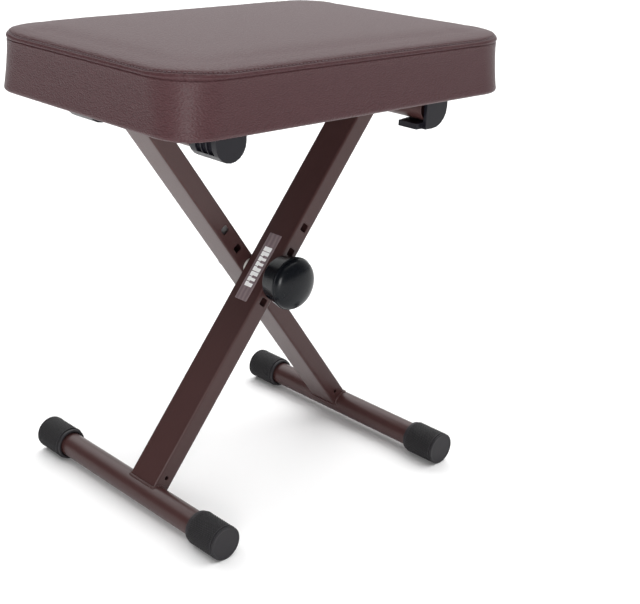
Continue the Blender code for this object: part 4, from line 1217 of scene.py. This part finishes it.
class PIANO_BENCH_OT_stage(bpy.types.Operator):
    """Makes the floor, the soft studio light and the camera"""

    bl_idname = "piano_bench.stage"
    bl_label = "Stage"

    def execute(self, context):
        stage = context.scene.piano_bench.stage
        scene = context.scene
        scene.view_settings.view_transform = "Standard"

        size = 40.0
        edge = np.array([[(-size, -size, 0), (size, -size, 0)], [(-size, size, 0), (size, size, 0)]], float)
        floor = bpy.data.objects.new("floor", make_mesh("floor", grid(edge, wrap=False)))
        scene.collection.objects.link(floor)
        material, tree, shader, place = new_material("painted_floor", Roughness=0.6)
        tree.links.new(varied(tree, place, stage.floor, 0.5, 0.004), shader.inputs["Base Color"])
        shader.inputs["Specular IOR Level"].default_value = 0.2
        floor.data.materials.append(material)

        # a pale backdrop behind and to the right of the bench that fades to a dim room behind the camera
        world = bpy.data.worlds.new("studio")
        world.use_nodes = True
        tree = world.node_tree
        behind = Vector((math.sin(stage.azimuth + 0.3), math.cos(stage.azimuth + 0.3), 0.5)).normalized()
        way = node(tree, "ShaderNodeTexCoord").outputs["Generated"]
        facing = node(tree, "ShaderNodeVectorMath", {0: way, 1: behind}, operation="DOT_PRODUCT")
        fade = node(
            tree,
            "ShaderNodeMapRange",
            {
                "Value": facing.outputs["Value"],
                "From Min": 0.25,
                "From Max": 0.9,
                "To Min": stage.room,
                "To Max": stage.backdrop,
            },
            interpolation_type="SMOOTHSTEP",
        )
        back = tree.nodes["Background"]
        back.inputs["Color"].default_value = (1, 1, 1, 1)
        tree.links.new(fade.outputs["Result"], back.inputs["Strength"])
        scene.world = world

        sun = bpy.data.lights.new("overhead", "SUN")
        sun.energy = stage.overhead
        sun.angle = math.radians(95)
        key = bpy.data.lights.new("key", "AREA")
        key.shape = "SQUARE"
        key.size = 0.75
        key.energy = stage.key
        # each lamp with its direction from the bench and its distance
        lamps = ((sun, (0.14, 0.16, 0.98), 3.0), (key, (-0.68, -0.71, 0.16), 2.2))
        for lamp, toward, distance in lamps:
            obj = bpy.data.objects.new(lamp.name, lamp)
            scene.collection.objects.link(obj)
            obj.location = Vector(PIVOT) + Vector(toward).normalized() * distance
            obj.rotation_mode = "QUATERNION"
            obj.rotation_quaternion = (-Vector(toward)).to_track_quat("-Z", "Y")

        lens = bpy.data.cameras.new("camera")
        lens.lens = stage.lens
        lens.sensor_width = 36
        lens.shift_x = stage.shift_x
        lens.shift_y = stage.shift_y
        lens.clip_start = 0.05
        lens.clip_end = 200
        camera = bpy.data.objects.new("camera", lens)
        scene.collection.objects.link(camera)
        turn, rise, roll = stage.azimuth, stage.elevation, stage.roll
        flat = math.cos(rise)
        forward = np.array((math.sin(turn) * flat, math.cos(turn) * flat, -math.sin(rise)))
        level = np.array((math.cos(turn), -math.sin(turn), 0))
        upward = np.cross(level, forward)
        right = level * math.cos(roll) + upward * math.sin(roll)
        above = upward * math.cos(roll) - level * math.sin(roll)
        place = np.array((0, 0, stage.target_height)) - forward * stage.distance
        matrix = np.eye(4)
        matrix[:3] = np.stack((right, above, -forward, place), axis=1)
        camera.matrix_world = Matrix(matrix.tolist())
        scene.camera = camera
        return {"FINISHED"}


class PIANO_BENCH_OT_cushion(bpy.types.Operator):
    """Makes the stuffed seat: vinyl cover and foam as one padded form"""

    bl_idname = "piano_bench.cushion"
    bl_label = "Seat Cushion"

    def execute(self, context):
        seat = context.scene.piano_bench.seat
        vinyl = leathercloth(seat.vinyl)
        nodes = ["seat_foam", "cover_side_band", "cover_top_panel"]
        cushion = new_piece("seat_cushion", cushion_part(seat), vinyl, "seat", nodes, 60)
        return {"FINISHED"}


class PIANO_BENCH_OT_stitching(bpy.types.Operator):
    """Makes the row of top stitching round the seat"""

    bl_idname = "piano_bench.stitching"
    bl_label = "Top Stitching"

    def execute(self, context):
        seat = context.scene.piano_bench.seat
        thread = spun_thread(seat.thread)
        new_piece("top_stitching", stitches(seat), thread, "seat")
        return {"FINISHED"}


class PIANO_BENCH_OT_underside(bpy.types.Operator):
    """Makes the dust cloth under the board and the staples that hold it"""

    bl_idname = "piano_bench.underside"
    bl_label = "Dust Cloth and Staples"

    def execute(self, context):
        seat = context.scene.piano_bench.seat
        cloth = spunbond_cloth(seat.lining)
        sheet = new_piece("dust_cloth", cloth_part(seat), cloth, "seat", ["dust_cover"])
        wall = sheet.modifiers.new("cloth", "SOLIDIFY")
        wall.thickness = 0.2 * MM
        wall.offset = 0
        ring = seat_ring(seat, 18.5 * MM, SEAT_BOTTOM - 0.75 * MM)
        places, tangent = even_steps(ring, seat.staple_pitch)
        down = np.broadcast_to(-Z, tangent.shape)
        frames = np.stack((tangent, np.cross(down, tangent), down), axis=1)
        staples = repeated(staple_part(10 * MM, 0.9 * MM), places, frames)
        new_piece("cloth_staples", staples, plating(context), "seat")
        return {"FINISHED"}


class PIANO_BENCH_OT_brackets(bpy.types.Operator):
    """Makes the four moulded brackets under the seat and their screws"""

    bl_idname = "piano_bench.brackets"
    bl_label = "Seat Brackets"

    def execute(self, context):
        steel = context.scene.piano_bench.steel
        plastic = moulded_nylon("glass_filled_nylon", steel.bracket, 0.3, 0.42, 0.5 * MM)
        for kind in ("hinge", "hook"):
            for end in ("front", "rear"):
                softened_copy(f"{kind}_saddle_{end}", f"{kind}_bracket_{end}", plastic, 0.7 * MM)
        names = [n for n in sorted(frame["nodes"]) if "_screw_" in n]
        low, high = BOX[names[0]]
        head = (high - low)[0] / 2
        single = screw_part(head, 1.9 * MM, 2.2 * MM, 12 * MM)
        places = np.array([(*MIDDLE[n][:2], BOX[n][0][2] + 2.2 * MM) for n in names])
        frames = np.tile(np.eye(3), (len(names), 1, 1))
        screws = repeated(single, places, frames)
        new_piece("bracket_screws", screws, plating(context), "seat", names)
        return {"FINISHED"}


class PIANO_BENCH_OT_legs(bpy.types.Operator):
    """Makes the two rectangular leg tubes, with their height holes"""

    bl_idname = "piano_bench.legs"
    bl_label = "Leg Tubes"

    def execute(self, context):
        steel = context.scene.piano_bench.steel
        for name, side in (("front", 1), ("rear", -1)):
            leg = Leg(name, side)
            skin = leg_skin(leg, steel)
            obj = new_piece(
                f"{name}_leg_tube", skin, paint(context), f"{name}_frame", [f"{name}_leg"], 50
            )
            wall = obj.modifiers.new("wall", "SOLIDIFY")
            wall.thickness = steel.leg_wall
            wall.offset = -1
            edge = obj.modifiers.new("sheared edge", "BEVEL")
            edge.width = 0.25 * MM
            edge.segments = 2
            edge.limit_method = "ANGLE"
            edge.angle_limit = math.radians(50)
        return {"FINISHED"}


class PIANO_BENCH_OT_tubes(bpy.types.Operator):
    """Makes the round crossbars and foot tubes, and the weld beads that join them to the legs"""

    bl_idname = "piano_bench.tubes"
    bl_label = "Round Tubes and Welds"

    def execute(self, context):
        steel = context.scene.piano_bench.steel
        for name, side in (("front", 1), ("rear", -1)):
            for kind, radius in (("crossbar", BAR_RADIUS), ("foot_tube", FOOT_RADIUS)):
                node_name = f"{name}_{kind}"
                half = (BOX[node_name][1] - BOX[node_name][0])[1] / 2
                line = tube_line(radius - steel.tube_wall, radius, -half, half)
                tube = turned(line, MIDDLE[node_name], Y, 96)
                skin_name = f"{node_name}_skin"
                new_piece(skin_name, tube, paint(context), f"{name}_frame", [node_name])
            leg = Leg(name, side)
            at_foot = weld_part(leg, steel, FOOT_RADIUS, True)
            at_bar = weld_part(leg, steel, BAR_RADIUS, False)
            beads = joined([at_foot, at_bar])
            new_piece(f"{name}_welds", beads, paint(context), f"{name}_frame", sharp=60)
        return {"FINISHED"}


class PIANO_BENCH_OT_caps(bpy.types.Operator):
    """Makes the four knurled rubber foot caps"""

    bl_idname = "piano_bench.caps"
    bl_label = "Foot Caps"

    def execute(self, context):
        steel = context.scene.piano_bench.steel
        rubber = moulded_rubber(steel.rubber)
        for name in ("front", "rear"):
            for end_name, end in (("front", -1), ("rear", 1)):
                node_name = f"{name}_foot_cap_{end_name}"
                cap = cap_part(node_name, steel, end)
                obj = new_piece(
                    f"{node_name}_knurled", cap, rubber, f"{name}_frame", [node_name], 50
                )
                mark_relief(obj, node_name, steel.knurl_depth)
        return {"FINISHED"}


class PIANO_BENCH_OT_pivot(bpy.types.Operator):
    """Makes the pivot bolt, its washers, the nylon spacer and the clamp knob"""

    bl_idname = "piano_bench.pivot"
    bl_label = "Pivot and Knob"

    def execute(self, context):
        pivot = context.scene.piano_bench.pivot
        zinc = plating(context)
        nylon = moulded_nylon("natural_nylon", pivot.nylon, 0.4, 0.55, 1 * MM)
        gloss = polished_phenolic(pivot.knob)
        bore = 4.3 * MM
        bolt, head_ring = bolt_part(BOX["pivot_bolt"]), washer_part("bolt_washer", bore)
        rows = (
            ("hinge_bolt", bolt, zinc, "rear_frame", "plated_steel", "pivot_bolt"),
            ("head_washer", head_ring, zinc, "rear_frame", "plated_steel", "bolt_washer"),
            ("nylon_spacer", washer_part("leg_spacer", bore), nylon, "rear_frame", "nylon", "leg_spacer"),
            ("clamp_washer", washer_part("knob_washer", bore), zinc, "washer", "plated_steel", "knob_washer"),
            ("turned_knob", knob_part(BOX["clamp_knob"]), gloss, "knob", "knob_plastic", "clamp_knob"),
        )
        for name, part, material, body, slot, replaced in rows:
            new_piece(name, part, material, body, [replaced])
        return {"FINISHED"}


class PIANO_BENCH_OT_label(bpy.types.Operator):
    """Makes the plain label on the front leg, with a generic row of piano keys"""

    bl_idname = "piano_bench.label"
    bl_label = "Leg Label"

    def execute(self, context):
        pivot = context.scene.piano_bench.pivot
        steel = context.scene.piano_bench.steel
        leg = Leg("front", 1)
        middle = MIDDLE["leg_label"]
        off = steel.leg_thick / 2 + GAP / 3
        base = middle + leg.outward * (off - (middle - leg.foot) @ leg.outward)
        frames = np.stack((-Y, leg.along, leg.outward))[None]
        plate = slab(pivot.label_width, pivot.label_length, 0.4 * MM, 1 * MM)
        part = repeated(plate, base[None], frames)
        film = label_film(pivot.film)
        obj = new_piece("leg_label_film", part, film, "front_frame", ["leg_label"])
        lay_out(obj, base, leg.along, Y)

        key_width = 4.9 * MM
        pitch = key_width + 0.8 * MM
        count = pivot.keys
        shift = (np.arange(count) - (count - 1) / 2) * pitch
        white = slab(10.5 * MM, key_width, 0.05 * MM, 0.5 * MM)
        top = base + leg.outward * 0.4 * MM
        keys = repeated(white, top + shift[:, None] * leg.along, np.repeat(frames, count, axis=0))
        ink = screen_ink("white_screen_ink", pivot.ink)
        new_piece("label_white_keys", keys, ink, "front_frame")
        black = slab(6 * MM, 2.6 * MM, 0.04 * MM, 0.3 * MM)
        spots = np.array([k for k in range(count - 1) if k % 7 not in (2, 6)])
        raised_place = top + leg.outward * 0.05 * MM - Y * 2.2 * MM
        places = raised_place + ((shift[spots] + pitch / 2)[:, None]) * leg.along
        keys = repeated(black, places, np.repeat(frames, len(spots), axis=0))
        new_piece("label_black_keys", keys, film, "front_frame")
        lay_out(bpy.data.objects["label_black_keys"], base, leg.along, Y)
        return {"FINISHED"}


def lay_out(obj, origin, along, across):
    """Gives a flat piece its own UV map in metres: u along it and v across it."""
    mesh = obj.data
    points = np.zeros(len(mesh.vertices) * 3)
    mesh.vertices.foreach_get("co", points)
    corners = np.zeros(len(mesh.loops), int)
    mesh.loops.foreach_get("vertex_index", corners)
    local = points.reshape(-1, 3)[corners] - origin
    layer = mesh.uv_layers.new(name="along")
    layer.data.foreach_set("uv", np.stack((local @ along, local @ across), axis=1).ravel())


class PIANO_BENCH_OT_hidden(bpy.types.Operator):
    """Gives the board and the knob's nut, which stay as they are in the frame, their materials"""

    bl_idname = "piano_bench.hidden"
    bl_label = "Board and Nut"

    def execute(self, context):
        finishes = (("seat_board", birch_plywood()), ("knob_nut", plating(context)))
        for name, material in finishes:
            mesh = frame["nodes"][name].data
            mesh.materials.clear()
            mesh.materials.append(material)
        return {"FINISHED"}


class PIANO_BENCH_PT_panel(bpy.types.Panel):
    """Lists the bench's operators and settings"""

    bl_idname = "PIANO_BENCH_PT_panel"
    bl_label = "Piano Bench"
    bl_space_type = "VIEW_3D"
    bl_region_type = "UI"
    bl_category = "Piano Bench"

    def draw(self, context):
        settings = context.scene.piano_bench
        for operator in OPERATORS:
            self.layout.operator(operator.bl_idname)
        for group in (settings.seat, settings.steel, settings.pivot, settings.stage):
            box = self.layout.box()
            box.label(text=group.__class__.__name__)
            for name in group.__annotations__:
                box.prop(group, name)


OPERATORS = (
    PIANO_BENCH_OT_stage,
    PIANO_BENCH_OT_cushion,
    PIANO_BENCH_OT_stitching,
    PIANO_BENCH_OT_underside,
    PIANO_BENCH_OT_brackets,
    PIANO_BENCH_OT_legs,
    PIANO_BENCH_OT_tubes,
    PIANO_BENCH_OT_caps,
    PIANO_BENCH_OT_pivot,
    PIANO_BENCH_OT_label,
    PIANO_BENCH_OT_hidden,
)
GROUPS = (SeatSettings, FrameSettings, PivotSettings, StageSettings, BenchSettings)


def register():
    """Registers the settings, the operators and the panel."""
    for cls in (*GROUPS, *OPERATORS, PIANO_BENCH_PT_panel):
        bpy.utils.register_class(cls)
    bpy.types.Scene.piano_bench = bpy.props.PointerProperty(type=BenchSettings)


def unregister():
    """Takes them away again."""
    del bpy.types.Scene.piano_bench
    for cls in reversed((*GROUPS, *OPERATORS, PIANO_BENCH_PT_panel)):
        bpy.utils.unregister_class(cls)


def main():
    """Makes the bench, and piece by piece."""
    register()
    for operator in OPERATORS:
        family, name = operator.bl_idname.split(".")
        getattr(getattr(bpy.ops, family), name)()


if __name__ == "__main__":
    main()
